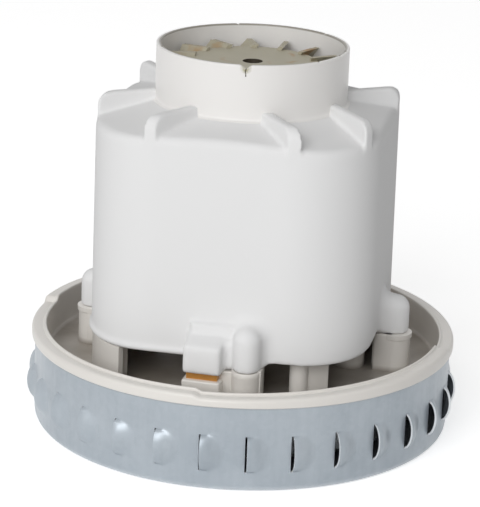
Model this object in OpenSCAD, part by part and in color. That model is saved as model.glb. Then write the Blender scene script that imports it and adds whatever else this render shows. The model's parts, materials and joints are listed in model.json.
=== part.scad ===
// Motor unit of a wet and dry vacuum cleaner.
// Millimetres, +Z up. The origin is the middle of the fan can's flat bottom.
// The cover's flats face X and Y, and the flat with the visible brush block faces -Y.

/* [Fan can] */
// Outer radius of the fan can
can_r = 65; // [60:0.5:72]
// Height of the fan can
can_h = 26.5; // [24:0.1:30]
// Thickness of the galvanised sheet
sheet_t = 0.8; // [0.6:0.1:1.1]
// Outer radius of the bend between the can's wall and bottom
can_bend_r = 2.5; // [1.6:0.1:4]
// Radius of the air inlet eye in the can's bottom
eye_r = 20; // [17:0.5:23]
// Height of the turned-in lip round the eye
eye_lip_h = 4; // [3.5:0.1:4.6]
// Number of outlet louvres round the can
louvre_count = 30; // [22:2:30]
// Half the height of a louvre
louvre_half_h = 5.6; // [4:0.1:6]
// Height of the louvres' middle above the middle of the impeller's outlet
louvre_lift = 1.2; // [0:0.1:1.5]
// Turn of the first louvre from the front
louvre_turn = 1.2; // [0:0.1:6]
// How far a louvre stands proud of the can
louvre_rise = 2.5; // [1.6:0.1:3]
// Width of the slit in front of a louvre
louvre_slit = 0.6; // [0.4:0.1:1]

/* [Impeller] */
// Height of the impeller, from the eye's edge to the top of the rear disc
impeller_h = 11; // [10:0.1:12.5]
// Thickness of the impeller's sheet
vane_t = 0.8; // [0.6:0.1:1.2]
// Number of impeller blades
blade_count = 8; // [6:1:10]
// Radius to which the blades are bent
blade_bend_r = 38; // [34:1:44]
// Rise of the front disc from the eye to its rim
shroud_rise = 2.4; // [1.5:0.1:3]
// Radial space between the impeller and the can
volute_gap = 7.2; // [4:0.1:9]
// Axial running gap above and below the impeller
fan_gap = 1.2; // [0.9:0.1:1.6]
// Radius of the collar that clamps the impeller
clamp_r = 9.5; // [8:0.1:11]
// Height of the collar that clamps the impeller
clamp_h = 4; // [3:0.1:4.5]
// Width across the flats of the impeller nut
nut_flats = 13; // [11:0.5:14]
// Height of the impeller nut
nut_h = 5; // [4:0.1:6]
// Thickness of the washer under the nut
washer_t = 1.5; // [1:0.1:2]

/* [Base housing] */
// Overhang of the rim beyond the can
rim_over = 1; // [0.5:0.1:2]
// Height of the rim above the can where a ramp starts
rim_low_h = 2.6; // [2:0.1:5]
// Rise of each of the four ramps of the rim
rim_ramp = 1.3; // [0.5:0.1:2.4]
// Width of the raised bead along the rim's inner edge
bead_w = 0.9; // [0.6:0.1:1.4]
// Height of the raised bead above the rim
bead_h = 0.5; // [0.3:0.1:0.8]
// Thickness of the dish wall
dish_wall = 2.8; // [2:0.1:3.5]
// Thickness of the dish floor
floor_t = 2.5; // [2:0.1:3]
// Height of the screw posts above the dish floor
post_h = 12.1; // [11:0.1:13]
// Radius of the round corner pillars
pillar_r = 2.8; // [2.2:0.1:3.2]
// Turn of the corner pillars from the middle of each flat
pillar_turn = 34.5; // [32:0.5:37]

/* [Motor cover] */
// Air space between the stator and the cover's flats
air_space = 4.1; // [3:0.1:6]
// Wall of the motor cover
cover_wall = 2.2; // [1.6:0.1:2.8]
// Outer radius of the cover's upright corners
cover_corner_r = 25; // [20:0.5:28]
// Height of the cover's lower edge above the seam at its bosses
edge_lift = 1; // [0.5:0.1:1.5]
// Fall of the deck for each millimetre out from the collar
deck_slope = 0.2; // [0.12:0.01:0.26]
// Thickness of the deck
deck_t = 2; // [1.5:0.1:2.5]
// Room between the bearing bridge and the deck
head_room = 2.2; // [1.5:0.1:4]
// Outer radius of the collar
collar_r = 29.3; // [28.5:0.1:32]
// Wall of the collar
collar_wall = 1.4; // [1.1:0.1:1.8]
// Height of the collar above the deck
collar_h = 17; // [16:0.1:20]
// Turns of the outer ends of half of the deck ribs; the other half lies opposite
rib_ends = [26.8, 55.4, 114, 153.5]; // [0:0.1:180]
// Directions in which these ribs run outwards, which is not straight from the axis
rib_runs = [35.7, 38, 125.5, 150.7]; // [0:0.1:180]
// Thickness of a deck rib
rib_t = 3.5; // [2:0.1:4]
// Height of a deck rib above the deck at the collar
rib_h = 3; // [2:0.1:5]
// Radius of a rib's outer top corner
rib_corner_r = 3.5; // [2:0.1:4]

/* [Cover screws] */
// Radius of the screw bosses and posts
boss_r = 4.3; // [4.1:0.1:5]
// Sideways place of the front and rear bosses from the middle of their flats, beside the brush blocks
boss_side = 10.6; // [10:0.1:12]
// Distance of the front and rear bosses' axes outside their flats
boss_out = 3.2; // [2.5:0.1:4]
// Height of the front and rear bosses from the seam to their round tops
boss_h = 13; // [12:0.1:16]
// Sideways place of the left and right bosses from the middle of their flats
flank_side = 1.6; // [0:0.1:6]
// Distance of the left and right bosses' axes outside their flats
flank_out = 4.4; // [3:0.1:5]
// How much lower the left and right bosses' tops are
flank_drop = 1.3; // [0:0.1:3]
// Angle through which the wall beside each left or right post follows the cover's corner
skirt_turn = 62; // [20:1:75]
// Thickness of that wall
skirt_t = 2; // [1.2:0.1:2.4]
// Radius of the cover screws
screw_r = 1.5; // [1.3:0.1:1.7]
// Radius of the cover screws' heads
screw_head_r = 3.2; // [2.6:0.1:3.3]
// Height of the cover screws' heads
screw_head_h = 2.2; // [1.6:0.1:2.6]
// Depth of the screw heads' recess in the floor's underside
head_sink = 5; // [4:0.1:6]
// Length of screw in the cover's boss
screw_bite = 9; // [7:0.1:10]

/* [Brush gear] */
// Turn of the brush axis from the middle of the front flat
brush_turn = -2.5; // [-4:0.5:0]
// Width of a carbon brush
brush_w = 7.6; // [6.5:0.1:8]
// Height of a carbon brush
brush_h = 6.2; // [5.5:0.1:6.6]
// Free play of the brush in its tube, each side
brush_play = 0.1; // [0.05:0.01:0.12]
// Gap between the brush and the commutator
brush_gap = 0.15; // [0.1:0.01:0.3]
// Outward travel of the brush against its spring
brush_travel = 3; // [2:0.1:3.5]
// Wall of the brush tube
tube_t = 0.8; // [0.6:0.1:1]
// How much of the tube shows below the cover's block
tube_show = 2.1; // [1:0.1:2.4]
// Distance of the block's face outside the flat
block_out = 8.2; // [7:0.1:9]
// Front wall of the block over the brush tube
block_wall = 1.4; // [1:0.1:1.8]
// Lid of the block over the brush tube
block_lid = 2.6; // [1.5:0.1:3]
// Cheek of the block beside the brush tube
block_cheek = 0.9; // [0.6:0.1:1.2]
// Rise of the block's sloping roof to the pad behind it
block_roof = 2.2; // [1:0.1:3]
// How far the pad behind a block stands proud of the flat
pad_out = 2; // [1:0.1:2.6]
// Height of the pad above the block's lid
pad_h = 5.4; // [4:0.1:6]
// Sideways reach of the pad from the middle of the flat
pad_side = 7.2; // [6:0.1:8]
// Thickness of the cap that closes a brush tube
cap_t = 1.2; // [0.8:0.1:1.6]
// Length of the cap's plug inside the tube
plug_len = 1.5; // [1:0.1:2]
// Mean radius of the brush spring
spring_r = 2.3; // [1.8:0.1:2.4]
// Wire radius of the brush spring
spring_wire_r = 0.35; // [0.25:0.05:0.4]
// Number of turns of the brush spring
spring_turns = 7; // [5:1:8]

/* [Bearings] */
// Bore radius of both ball bearings
bearing_bore_r = 4; // [3.5:0.1:4.2]
// Outer radius of both ball bearings
bearing_outer_r = 11; // [10.5:0.1:12]
// Width of both ball bearings
bearing_w = 7; // [6.6:0.1:8]
// Radius of the balls
ball_r = 1.98; // [1.8:0.02:2.1]
// Number of balls in a bearing
ball_count = 7; // [6:1:7]
// Play between the balls and their races
ball_play = 0.06; // [0.04:0.01:0.1]
// Half the gap between a bearing's rings
ring_gap = 1.3; // [1.1:0.05:1.4]
// Wall round the bearing seats
seat_wall = 3; // [2:0.1:3]
// Thickness of the lower bearing's retainer
retainer_t = 1; // [0.8:0.1:1.5]
// Place of the retainer's screws from the axis
retainer_screw_x = 17; // [16.8:0.1:18]
// Radius of the retainer's screws
retainer_screw_r = 1.3; // [1:0.1:1.5]

/* [Rotor] */
// Radius of the shaft through the armature
shaft_core_r = 5.5; // [5:0.1:6]
// Radius of the shaft's slotted upper end
shaft_tip_r = 3; // [2.5:0.1:3.4]
// Radius of the commutator
comm_r = 13; // [12:0.1:13.2]
// Length of the commutator below its risers
comm_len = 13.5; // [12:0.1:16]
// Number of commutator bars
comm_bars = 24; // [20:2:28]
// Radial thickness of the commutator bars
bar_t = 3.5; // [2.5:0.1:4]
// Angle left free between two bars
bar_slit = 2.5; // [1.5:0.1:4]
// Height of the bars' risers
riser_h = 2; // [1.5:0.1:3]
// How far the risers stand proud of the bars
riser_out = 1.5; // [0.8:0.1:2]
// Radius of the armature
armature_r = 20.9; // [19.5:0.1:22.5]
// Length of the armature and stator stacks
stack_h = 34; // [30:0.5:38]
// Number of slots in the armature
slot_count = 12; // [10:2:14]
// Radius of an armature slot
slot_r = 2.6; // [2:0.1:2.8]
// Width of an armature slot's mouth
slot_mouth = 1.6; // [1:0.1:2.4]
// Length of the winding beyond each end of the stack
winding_end_h = 6.8; // [6:0.1:8]

/* [Stator] */
// Air gap between armature and stator
air_gap = 0.5; // [0.4:0.05:0.8]
// Thickness of the pole shoes
shoe_t = 4; // [3:0.1:5]
// Half angle of a pole shoe
shoe_angle = 58; // [50:1:64]
// Half width of a pole's neck
neck_half = 13; // [11:0.1:13.5]
// Thickness of a field coil along the pole
coil_t = 4.2; // [3.5:0.1:5]
// Width of a field coil beside the pole
coil_side = 6.6; // [5:0.1:7]
// Thickness of the stator yoke
yoke_t = 6.5; // [6:0.1:7.5]
// Outer radius of the stator's upright corners
stator_corner_r = 16.5; // [15:0.5:18]
// Thickness of the insulating plates on the stator
insulator_t = 1; // [0.6:0.1:1.5]
// Radius of the stator bolts
bolt_r = 2; // [1.6:0.1:2.2]
// Length of the stator bolts in the base posts
bolt_bite = 14; // [10:0.5:16]
// Radius of the posts under the stator
stator_post_r = 5; // [4:0.1:5.2]
// Width of the bearing bridge
bridge_w = 13; // [11:0.1:15]
// Thickness of the bearing bridge's bar
bridge_t = 3; // [2.5:0.1:3.5]
// Thickness of the lid over the upper bearing
bridge_lid_t = 1.5; // [1:0.1:2]

/* [Cooling fan] */
// Height of the cooling fan
cooler_h = 11.2; // [9:0.1:11.6]
// Gap between the cooling fan and the collar
cooler_gap = 1.4; // [1:0.1:2.5]
// Radius of the cooling fan's top disc
cooler_disc_r = 20; // [16:0.1:22]
// Thickness of the cooling fan's top disc
cooler_disc_t = 1.5; // [1:0.1:2]
// Radius of the cooling fan's hub
cooler_hub_r = 7; // [6:0.1:10]
// Number of cooling fan blades
cooler_blades = 14; // [10:1:16]
// Thickness of a cooling fan blade
cooler_blade_t = 1.2; // [0.9:0.1:1.6]
// Tilt of the cooling fan blades from level
cooler_tilt = 50; // [40:1:60]
// How far the blades rise above the top disc
cooler_crest = 1; // [0.5:0.1:1.5]

/* [Wiring] */
// Width of a mains terminal tab
tab_w = 6.3; // [4.8:0.1:6.3]
// Thickness of a mains terminal tab
tab_t = 0.8; // [0.5:0.1:1]
// Spacing of the two mains terminal tabs
tab_pitch = 10; // [9:0.1:12]
// Height of the tabs above the dish floor
tab_lift = 5; // [4:0.1:6]
// Radius of the insulated leads
lead_r = 0.9; // [0.7:0.1:1]

/* [Hidden] */
$fn = 64;

// Clearance of a seated fit, and of a part that only clears its neighbour
fit = 0.03;
clear = 0.2;
// Foot of the collar: how far its cone spreads, and how far it rises above the ribs
foot_spread = 0.9;
foot_rise = 0.8;
// Sealing band of the rim: the step in above it, and its drop below the lowest ramp
rim_step = 1;
band_drop = 0.2;
// Room for cutters past the faces they cut
past = 1;
// Steps of a rounded corner's arc
corner_steps = 8;

// Heights, from the can's bottom up
shroud_z = eye_lip_h + fan_gap;
rear_top = shroud_z + impeller_h;
rear_z = rear_top - vane_t;
floor_z = rear_top + fan_gap;
floor_top = floor_z + floor_t;
low_bearing_top = floor_top + bearing_w;
retainer_top = low_bearing_top + retainer_t;
spin_gap = 0.7;
comm_z = retainer_top + spin_gap;
brush_inset = 0.9;
brush_z = comm_z + brush_inset + brush_h / 2;
riser_z = comm_z + comm_len;
comm_top = riser_z + riser_h;
winding_z = comm_top + spin_gap;
stack_z = winding_z + winding_end_h;
stack_top = stack_z + stack_h;
winding_top = stack_top + winding_end_h;
high_bearing_z = winding_top + fan_gap;
high_bearing_top = high_bearing_z + bearing_w;
bridge_top = high_bearing_z + bridge_t;
lid_top = high_bearing_top + bridge_lid_t;
cooler_z = lid_top + spin_gap;
cooler_top = cooler_z + cooler_h;
seam_z = floor_top + post_h;
cover_z = seam_z + edge_lift;
louvre_z = (shroud_z + rear_top) / 2 + louvre_lift;
tip_depth = 1.8;
tip_z = cooler_top - tip_depth;

// Radii and half widths, from the axis out
eye_gap = 1.8;
impeller_eye_r = eye_r + eye_gap;
impeller_r = can_r - sheet_t - volute_gap;
blade_setback = 2.2;
blade_in_r = impeller_eye_r + blade_setback;
blade_centre = sqrt(blade_bend_r * blade_bend_r - blade_in_r * blade_in_r);
base_r = can_r - sheet_t - fit;
dish_r = base_r - dish_wall;
rim_r = can_r + rim_over;
race_r = (bearing_bore_r + bearing_outer_r) / 2;
inner_land_r = race_r - ring_gap;
outer_land_r = race_r + ring_gap;
seat_r = bearing_outer_r + fit;
hub_r = seat_r + seat_wall;
bore_r = armature_r + air_gap;
coil_gap = 0.5;
coil_y = bore_r + shoe_t + coil_gap;
yoke_in = coil_y + coil_t + coil_gap;
stator_half = yoke_in + yoke_t;
cover_half = stator_half + air_space + cover_wall;
bolt_x = stator_half - yoke_t / 2;
deck_z = bridge_top + head_room + deck_t + deck_slope * (stator_half - collar_r);
collar_in_r = collar_r - collar_wall;
collar_top = deck_z + collar_h;
foot_h = rib_h + foot_rise;
cooler_r = collar_in_r - cooler_gap;

// The brush tube, and the block and ledge that hold it
tube_w = brush_w + 2 * (brush_play + tube_t);
tube_h = brush_h + 2 * (brush_play + tube_t);
tube_z = brush_z - tube_h / 2;
tube_top = tube_z + tube_h;
tube_in = comm_r + riser_out + clear;
block_face = cover_half + block_out;
tube_out = block_face - block_wall - clear - cap_t;
block_w = tube_w + 2 * (clear + block_cheek);
block_z = tube_z + tube_show;
block_top = tube_top + clear + block_lid;
brush_in = comm_r + brush_gap;
spring_out = tube_out - plug_len;
spring_spare = 0.9;
spring_solid = 2 * spring_wire_r * (spring_turns + 2);
brush_out = spring_out - brush_travel - spring_solid - spring_spare;

// The mains terminals, beside the rear brush, and the seat that holds them
tab_turn = 150;
tab_back = 8.5;
tab_wall_gap = 3;
tab_seat_gap = 3;
tab_seat_t = 6;
tab_seat_wall = 1.5;
tab_in = cover_half - tab_back;
tab_out = dish_r - tab_wall_gap;
tab_z = floor_top + tab_lift;
tab_seat_in = cover_half + tab_seat_gap;

// Points of an arc about c, from angle a to angle b
function arc(c, r, a, b, n = corner_steps) =
    [for (i = [0 : n]) let (t = a + (b - a) * i / n) [c[0] + r * cos(t), c[1] + r * sin(t)]];
// Outline of a rectangle with rounded corners
function rounded(hx, hy, r) = concat(
    arc([hx - r, hy - r], r, 0, 90),
    arc([r - hx, hy - r], r, 90, 180),
    arc([r - hx, r - hy], r, 180, 270),
    arc([hx - r, r - hy], r, 270, 360));
// Angle from the nearest flat's middle
function from_flat(a) = let (m = ((a % 90) + 90) % 90) m > 45 ? 90 - m : m;
// Distance from the axis to the wall of a rounded square, in direction a
function wall_at(a, half, r) =
    let (b = from_flat(a), c = half - r, k = c * (sin(b) + cos(b)))
    half * tan(b) <= c ? half / cos(b) : k + sqrt(k * k - 2 * c * c + r * r);
// Height of the deck's upper face at a distance from the axis
function deck_at(r) = deck_z - deck_slope * (r - collar_r);
// Height of the impeller's front disc, on its lower face
function shroud_at(r) = shroud_z + shroud_rise * (r - impeller_eye_r) / (impeller_r - impeller_eye_r);

// Directions are turns from -Y, counter-clockwise seen from above
module turned(a) {
    rotate([0, 0, a]) children();
}

// One copy at each of the cover's four flats
module each_flat() {
    for (a = [0 : 90 : 270]) turned(a) children();
}

// One copy on the axis of each screw boss, in the frame of its flat
module each_boss() {
    for (a = [0, 180])
        turned(a) translate([boss_side, -(cover_half + boss_out), 0]) children();
    for (a = [90, 270])
        turned(a) translate([flank_side, -(cover_half + flank_out), 0]) children();
}

// One copy at the front and one at the rear, along the brush axis
module each_brush() {
    for (a = [0, 180]) turned(brush_turn + a) children();
}

// A plain ring between two radii
module ring(inner, outer, z, h) {
    translate([0, 0, z])
        linear_extrude(h)
            difference() {
                circle(outer);
                circle(inner);
            }
}

// A box that starts at a distance out along -Y
module radial_box(w, out_from, out_to, z_from, z_to) {
    translate([-w / 2, -out_to, z_from])
        cube([w, out_to - out_from, z_to - z_from]);
}

// An upright post whose top is rounded to a dome
module domed_post(r, z_from, z_to) {
    rotate_extrude()
        polygon(concat([[0, z_from], [r, z_from]], arc([0, z_to - r], r, 0, 90)));
}

// A closed tube along a path, with the reference direction kept off the path's own
module swept_tube(path, r, ref, sides) {
    last = len(path) - 1;
    rings = [for (i = [0 : last])
        let (d = path[min(i + 1, last)] - path[max(i - 1, 0)],
             t = d / norm(d), c = cross(t, ref), u = c / norm(c), v = cross(t, u))
        for (k = [0 : sides - 1]) let (a = 360 * k / sides) path[i] + r * (cos(a) * u + sin(a) * v)];
    sides_faces = [for (i = [0 : last - 1], k = [0 : sides - 1], h = [0, 1])
        let (n = (k + 1) % sides, p = i * sides, q = p + sides)
        h == 0 ? [p + k, p + n, q + n] : [p + k, q + n, q + k]];
    start_faces = [for (k = [1 : sides - 2]) [0, k + 1, k]];
    end_faces = [for (k = [1 : sides - 2]) let (e = last * sides) [e, e + k, e + k + 1]];
    flipped = [for (f = concat(sides_faces, start_faces, end_faces)) [f[0], f[2], f[1]]];
    polyhedron(rings, flipped);
}

// The ball that a louvre's dome is part of, thinner by t
module louvre_ball(t, from_x) {
    ball = (louvre_half_h * louvre_half_h + louvre_rise * louvre_rise) / (2 * louvre_rise);
    intersection() {
        translate([0, -(can_r + louvre_rise - ball), louvre_z])
            sphere(ball - t);
        translate([from_x, -2 * can_r, 0])
            cube([2 * ball, 2 * can_r, 2 * can_h]);
    }
}

// Drawn sheet can: wall, flat bottom and the lip of the inlet eye
module can_shell() {
    lip_bend = can_bend_r / 2 + sheet_t;
    inner_bend = can_bend_r - sheet_t;
    rotate_extrude()
        polygon(concat(
            [[eye_r, eye_lip_h]],
            arc([eye_r + lip_bend, lip_bend], lip_bend, 180, 270),
            arc([can_r - can_bend_r, can_bend_r], can_bend_r, 270, 360),
            [[can_r, can_h], [can_r - sheet_t, can_h]],
            arc([can_r - can_bend_r, can_bend_r], inner_bend, 360, 270),
            arc([eye_r + lip_bend, lip_bend], lip_bend - sheet_t, 270, 180),
            [[eye_r + sheet_t, eye_lip_h]]));
}

module fan_can() {
    step = 360 / louvre_count;
    color("#a3aeb8")
        difference() {
            union() {
                can_shell();
                for (i = [0 : louvre_count - 1])
                    turned(louvre_turn + i * step)
                        difference() {
                            louvre_ball(0, 0);
                            cylinder(r = can_r - sheet_t / 2, h = can_h);
                        }
            }
            for (i = [0 : louvre_count - 1])
                turned(louvre_turn + i * step) louvre_ball(sheet_t, -louvre_slit);
        }
}

// The ring of the rim, cut by four tilted planes into four ramps
module rim() {
    ramp_mid = can_h + rim_low_h + rim_ramp / 2;
    tilt = atan(rim_ramp / (2 * rim_r * sin(45)));
    difference() {
        union() {
            ring(dish_r, rim_r, can_h, rim_low_h - band_drop);
            ring(dish_r, rim_r - rim_step, can_h, rim_low_h + 2 * rim_ramp);
        }
        for (a = [0 : 90 : 270])
            turned(a + 45)
                intersection() {
                    rotate([0, 0, 225]) cube([2 * rim_r, 2 * rim_r, 2 * can_h]);
                    translate([0, 0, ramp_mid])
                        rotate([0, -tilt, 0])
                            union() {
                                ring(dish_r + bead_w, 2 * rim_r, 0, can_h);
                                ring(0, dish_r + bead_w + past, bead_h, can_h);
                            }
                }
    }
}

// Round column and flat web at each corner, up to the stator
module pillars() {
    at_r = wall_at(pillar_turn, stator_half, stator_corner_r);
    web_w = 6.5;
    web_t = 2.6;
    each_flat() {
        turned(pillar_turn)
            translate([0, -at_r, floor_top - past])
                cylinder(r = pillar_r, h = stack_z - insulator_t - floor_top + past);
        turned(pillar_turn)
            translate([0, -at_r - web_t / 2, floor_top - past])
                cube([pillar_r + web_w, web_t, cover_z - floor_top + 2 * past]);
    }
}

// Wall from the left and the right post round the next corner, just under the cover's edge
module skirts() {
    skirt_gap = 0.3;
    corner_at = cover_half - cover_corner_r;
    out_r = cover_corner_r - skirt_gap + skirt_t / 4;
    in_r = out_r - skirt_t;
    for (a = [90, 270])
        turned(a)
            translate([0, 0, floor_top - past])
                linear_extrude(seam_z - skirt_gap - floor_top + past)
                    polygon(concat(
                        [[flank_side, -corner_at - in_r], [flank_side, -corner_at - out_r]],
                        arc([corner_at, -corner_at], out_r, 270, 270 + skirt_turn),
                        arc([corner_at, -corner_at], in_r, 270 + skirt_turn, 270)));
}

// Seat of the lower bearing with the two ears for its retainer
module bearing_hub() {
    translate([0, 0, floor_z]) cylinder(r = hub_r, h = low_bearing_top - floor_z);
    for (x = [-1, 1])
        translate([x * retainer_screw_x, 0, floor_z])
            cylinder(r = seat_wall, h = low_bearing_top - floor_z);
}

module base_housing() {
    color("#e6e2da")
        difference() {
            union() {
                ring(dish_r, base_r, floor_z, can_h - floor_z + past / 2);
                translate([0, 0, floor_z]) cylinder(r = dish_r + past, h = floor_t);
                rim();
                bearing_hub();
                pillars();
                skirts();
                each_boss()
                    translate([0, 0, floor_z]) cylinder(r = boss_r, h = seam_z - floor_z);
                each_brush()
                    radial_box(block_w, tube_in, block_face, floor_top - past, tube_z);
                for (x = [-1, 1])
                    translate([x * bolt_x, 0, floor_top - past])
                        cylinder(r = stator_post_r, h = stack_z - insulator_t - floor_top + past);
                turned(tab_turn)
                    radial_box(tab_pitch + tab_w + 2 * tab_seat_wall, tab_seat_in, tab_seat_in + tab_seat_t,
                        floor_top - past, tab_z + tab_t + tab_seat_wall);
            }
            translate([0, 0, floor_top]) cylinder(r = seat_r, h = bearing_w + past);
            translate([0, 0, floor_z - past]) cylinder(r = outer_land_r, h = floor_t + 2 * past);
            for (x = [-1, 1]) {
                translate([x * retainer_screw_x, 0, floor_z + past])
                    cylinder(r = retainer_screw_r + fit, h = bearing_w + floor_t);
                translate([x * bolt_x, 0, stack_z - insulator_t - bolt_bite - past])
                    cylinder(r = bolt_r + fit, h = bolt_bite + 2 * past);
            }
            each_boss()
                translate([0, 0, floor_z - past]) {
                    cylinder(r = screw_r + clear, h = seam_z - floor_z + 2 * past);
                    cylinder(r = screw_head_r + clear, h = head_sink + past);
                }
            turned(tab_turn)
                for (x = [-1, 1])
                    translate([x * tab_pitch / 2, 0, 0])
                        radial_box(tab_w + 2 * fit, tab_in, tab_out, tab_z - fit, tab_z + tab_t + fit);
        }
}

// The hood's solid form below a cone that is the deck, drawn in by t
module hood(t, z_from) {
    top_r = 2 * cover_half;
    intersection() {
        translate([0, 0, z_from])
            linear_extrude(deck_at(0) - z_from)
                polygon(rounded(cover_half - t, cover_half - t, cover_corner_r - t));
        rotate_extrude()
            polygon([[0, z_from - past], [top_r, z_from - past], [top_r, deck_at(top_r)], [0, deck_at(0)]]);
    }
}

// One deck rib: it ends on the wall in direction a, and runs outwards in direction run
module deck_rib(a, run) {
    wall_r = wall_at(a, cover_half, cover_corner_r);
    reach = wall_r * cos(run - a);
    top = deck_z + rib_h;
    turned(run)
        translate([rib_t / 2 - wall_r * sin(run - a), 0, 0])
            rotate([90, 0, -90])
                linear_extrude(rib_t)
                    polygon(concat(
                        [[collar_in_r / 2, deck_z - deck_t / 2]],
                        [[reach + 2 * past, deck_at(wall_r) - deck_t / 2]],
                        [[reach + 2 * past, top - rib_corner_r]],
                        arc([reach - rib_corner_r, top - rib_corner_r], rib_corner_r, 0, 90),
                        [[collar_in_r / 2, top]]));
}

// All ribs, from within the collar's wall to the cover's wall
module deck_ribs() {
    intersection() {
        difference() {
            for (i = [0 : len(rib_ends) - 1])
                for (half_turn = [0, 180])
                    deck_rib(rib_ends[i] + half_turn, rib_runs[i] + half_turn);
            cylinder(r = collar_in_r + collar_wall / 2, h = collar_top);
        }
        linear_extrude(collar_top)
            polygon(rounded(cover_half, cover_half, cover_corner_r));
    }
}

// One screw boss at a place on its flat, with a higher shoulder behind its dome
module boss(side, out, top) {
    root_rise = 2;
    root_r = boss_r + 1;
    translate([side, -(cover_half + out), 0]) domed_post(boss_r, seam_z, top);
    translate([side, -cover_half, 0]) domed_post(root_r, seam_z, top + root_rise);
}

module bosses() {
    top = seam_z + boss_h;
    for (a = [0, 180]) turned(a) boss(boss_side, boss_out, top);
    for (a = [90, 270]) turned(a) boss(flank_side, flank_out, top - flank_drop);
}

// Block over the end of a brush tube, with a roof that slopes up to the pad behind it
module brush_block() {
    back = cover_half - cover_wall / 2;
    pad_face = cover_half + pad_out;
    each_brush()
        translate([-block_w / 2, 0, 0])
            rotate([90, 0, 90])
                linear_extrude(block_w)
                    polygon([[-back, block_z], [-block_face, block_z], [-block_face, block_top],
                        [-pad_face, block_top + block_roof], [-back, block_top + block_roof]]);
    for (a = [0, 180])
        turned(a)
            translate([-pad_side, -pad_face, tube_top])
                cube([pad_side + boss_side, pad_face - back, block_top + pad_h - tube_top]);
}

// Cone that spreads the collar's foot, so that a sleeve stops just above the ribs
module collar_foot() {
    low = deck_z - deck_t / 2;
    rotate_extrude()
        polygon([[collar_in_r, low], [collar_r + foot_spread, low], [collar_r + foot_spread, deck_z],
            [collar_r, deck_z + foot_h], [collar_in_r, deck_z + foot_h]]);
}

module motor_cover() {
    color("#efedea")
        difference() {
            union() {
                difference() {
                    union() {
                        hood(0, cover_z);
                        bosses();
                        brush_block();
                    }
                    translate([0, 0, -deck_t]) hood(cover_wall, seam_z - past);
                    translate([0, 0, deck_z - head_room - deck_t]) cylinder(r = collar_in_r, h = collar_h);
                }
                deck_ribs();
                ring(collar_in_r, collar_r, deck_z, collar_h);
                collar_foot();
            }
            each_boss()
                translate([0, 0, seam_z - past]) cylinder(r = screw_r + fit, h = screw_bite + 2 * past);
            each_brush()
                radial_box(tube_w + 2 * clear, cover_half - 2 * cover_wall, block_face - block_wall,
                    floor_z, tube_top + clear);
        }
}

module cover_screws() {
    seat = floor_z + head_sink;
    shank_from = seat - past / 2;
    cross_len = screw_head_r * 1.2;
    cross_w = 0.8;
    cross_depth = 1.2;
    color("#8d9296")
        each_boss()
            difference() {
                union() {
                    translate([0, 0, seat - screw_head_h])
                        cylinder(r = screw_head_r, h = screw_head_h);
                    translate([0, 0, shank_from])
                        cylinder(r = screw_r, h = seam_z + screw_bite - shank_from);
                }
                for (a = [45, 135])
                    rotate([0, 0, a])
                        translate([-cross_len / 2, -cross_w / 2, seat - screw_head_h - past])
                            cube([cross_len, cross_w, past + cross_depth]);
            }
}

// Cross section of the stator's laminations
module stator_section() {
    difference() {
        polygon(rounded(stator_half, stator_half, stator_corner_r));
        polygon(rounded(yoke_in, yoke_in, stator_corner_r - yoke_t));
    }
    difference() {
        for (s = [0, 180])
            rotate(s) {
                translate([-neck_half, -yoke_in - past])
                    square([2 * neck_half, yoke_in - bore_r + past + shoe_t]);
                intersection() {
                    circle(bore_r + shoe_t);
                    polygon([[0, 0], for (a = [-shoe_angle, 0, shoe_angle]) 2 * bore_r * [sin(a), -cos(a)]]);
                }
            }
        circle(bore_r);
    }
}

module stator_core() {
    color("#70757a")
        difference() {
            translate([0, 0, stack_z])
                linear_extrude(stack_h)
                    stator_section();
            for (x = [-1, 1])
                translate([x * bolt_x, 0, stack_z - past])
                    cylinder(r = bolt_r + clear, h = stack_h + 2 * past);
        }
}

// A wound coil round one pole's neck
module field_coil() {
    mid = (stack_z + stack_top) / 2;
    in_x = neck_half + coil_gap;
    in_z = stack_h / 2 + coil_gap;
    end_z = stack_h / 2 + winding_end_h;
    in_corner = 1;
    color("#b8733a")
        translate([0, -coil_y, mid])
            rotate([90, 0, 0])
                linear_extrude(coil_t)
                    difference() {
                        polygon(rounded(in_x + coil_side, end_z, coil_side - in_corner));
                        polygon(rounded(in_x, in_z, in_corner));
                    }
}

module field_coil_front() {
    field_coil();
}

module field_coil_rear() {
    turned(180) field_coil();
}

// Insulating plate on an end of the stator's yoke
module insulator(z) {
    color("#d8d2c0")
        translate([0, 0, z])
            linear_extrude(insulator_t)
                difference() {
                    polygon(rounded(stator_half, stator_half, stator_corner_r));
                    polygon(rounded(yoke_in, yoke_in, stator_corner_r - yoke_t));
                    for (x = [-1, 1])
                        translate([x * bolt_x, 0]) circle(bolt_r + clear);
                }
}

module upper_insulator() {
    insulator(stack_top);
}

module lower_insulator() {
    insulator(stack_z - insulator_t);
}

module bearing_bridge() {
    foot_z = stack_top + insulator_t;
    color("#d5d2cb")
        difference() {
            union() {
                translate([0, 0, high_bearing_z]) cylinder(r = hub_r, h = lid_top - high_bearing_z);
                translate([-stator_half, -bridge_w / 2, high_bearing_z])
                    cube([2 * stator_half, bridge_w, bridge_t]);
                for (a = [90, 270])
                    turned(a) radial_box(bridge_w, yoke_in, stator_half, foot_z, bridge_top);
            }
            translate([0, 0, high_bearing_z - past]) cylinder(r = seat_r, h = bearing_w + past);
            translate([0, 0, high_bearing_z]) cylinder(r = outer_land_r, h = 2 * bearing_w);
            for (x = [-1, 1])
                translate([x * bolt_x, 0, foot_z - past]) cylinder(r = bolt_r + clear, h = deck_z - foot_z);
        }
}

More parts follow.
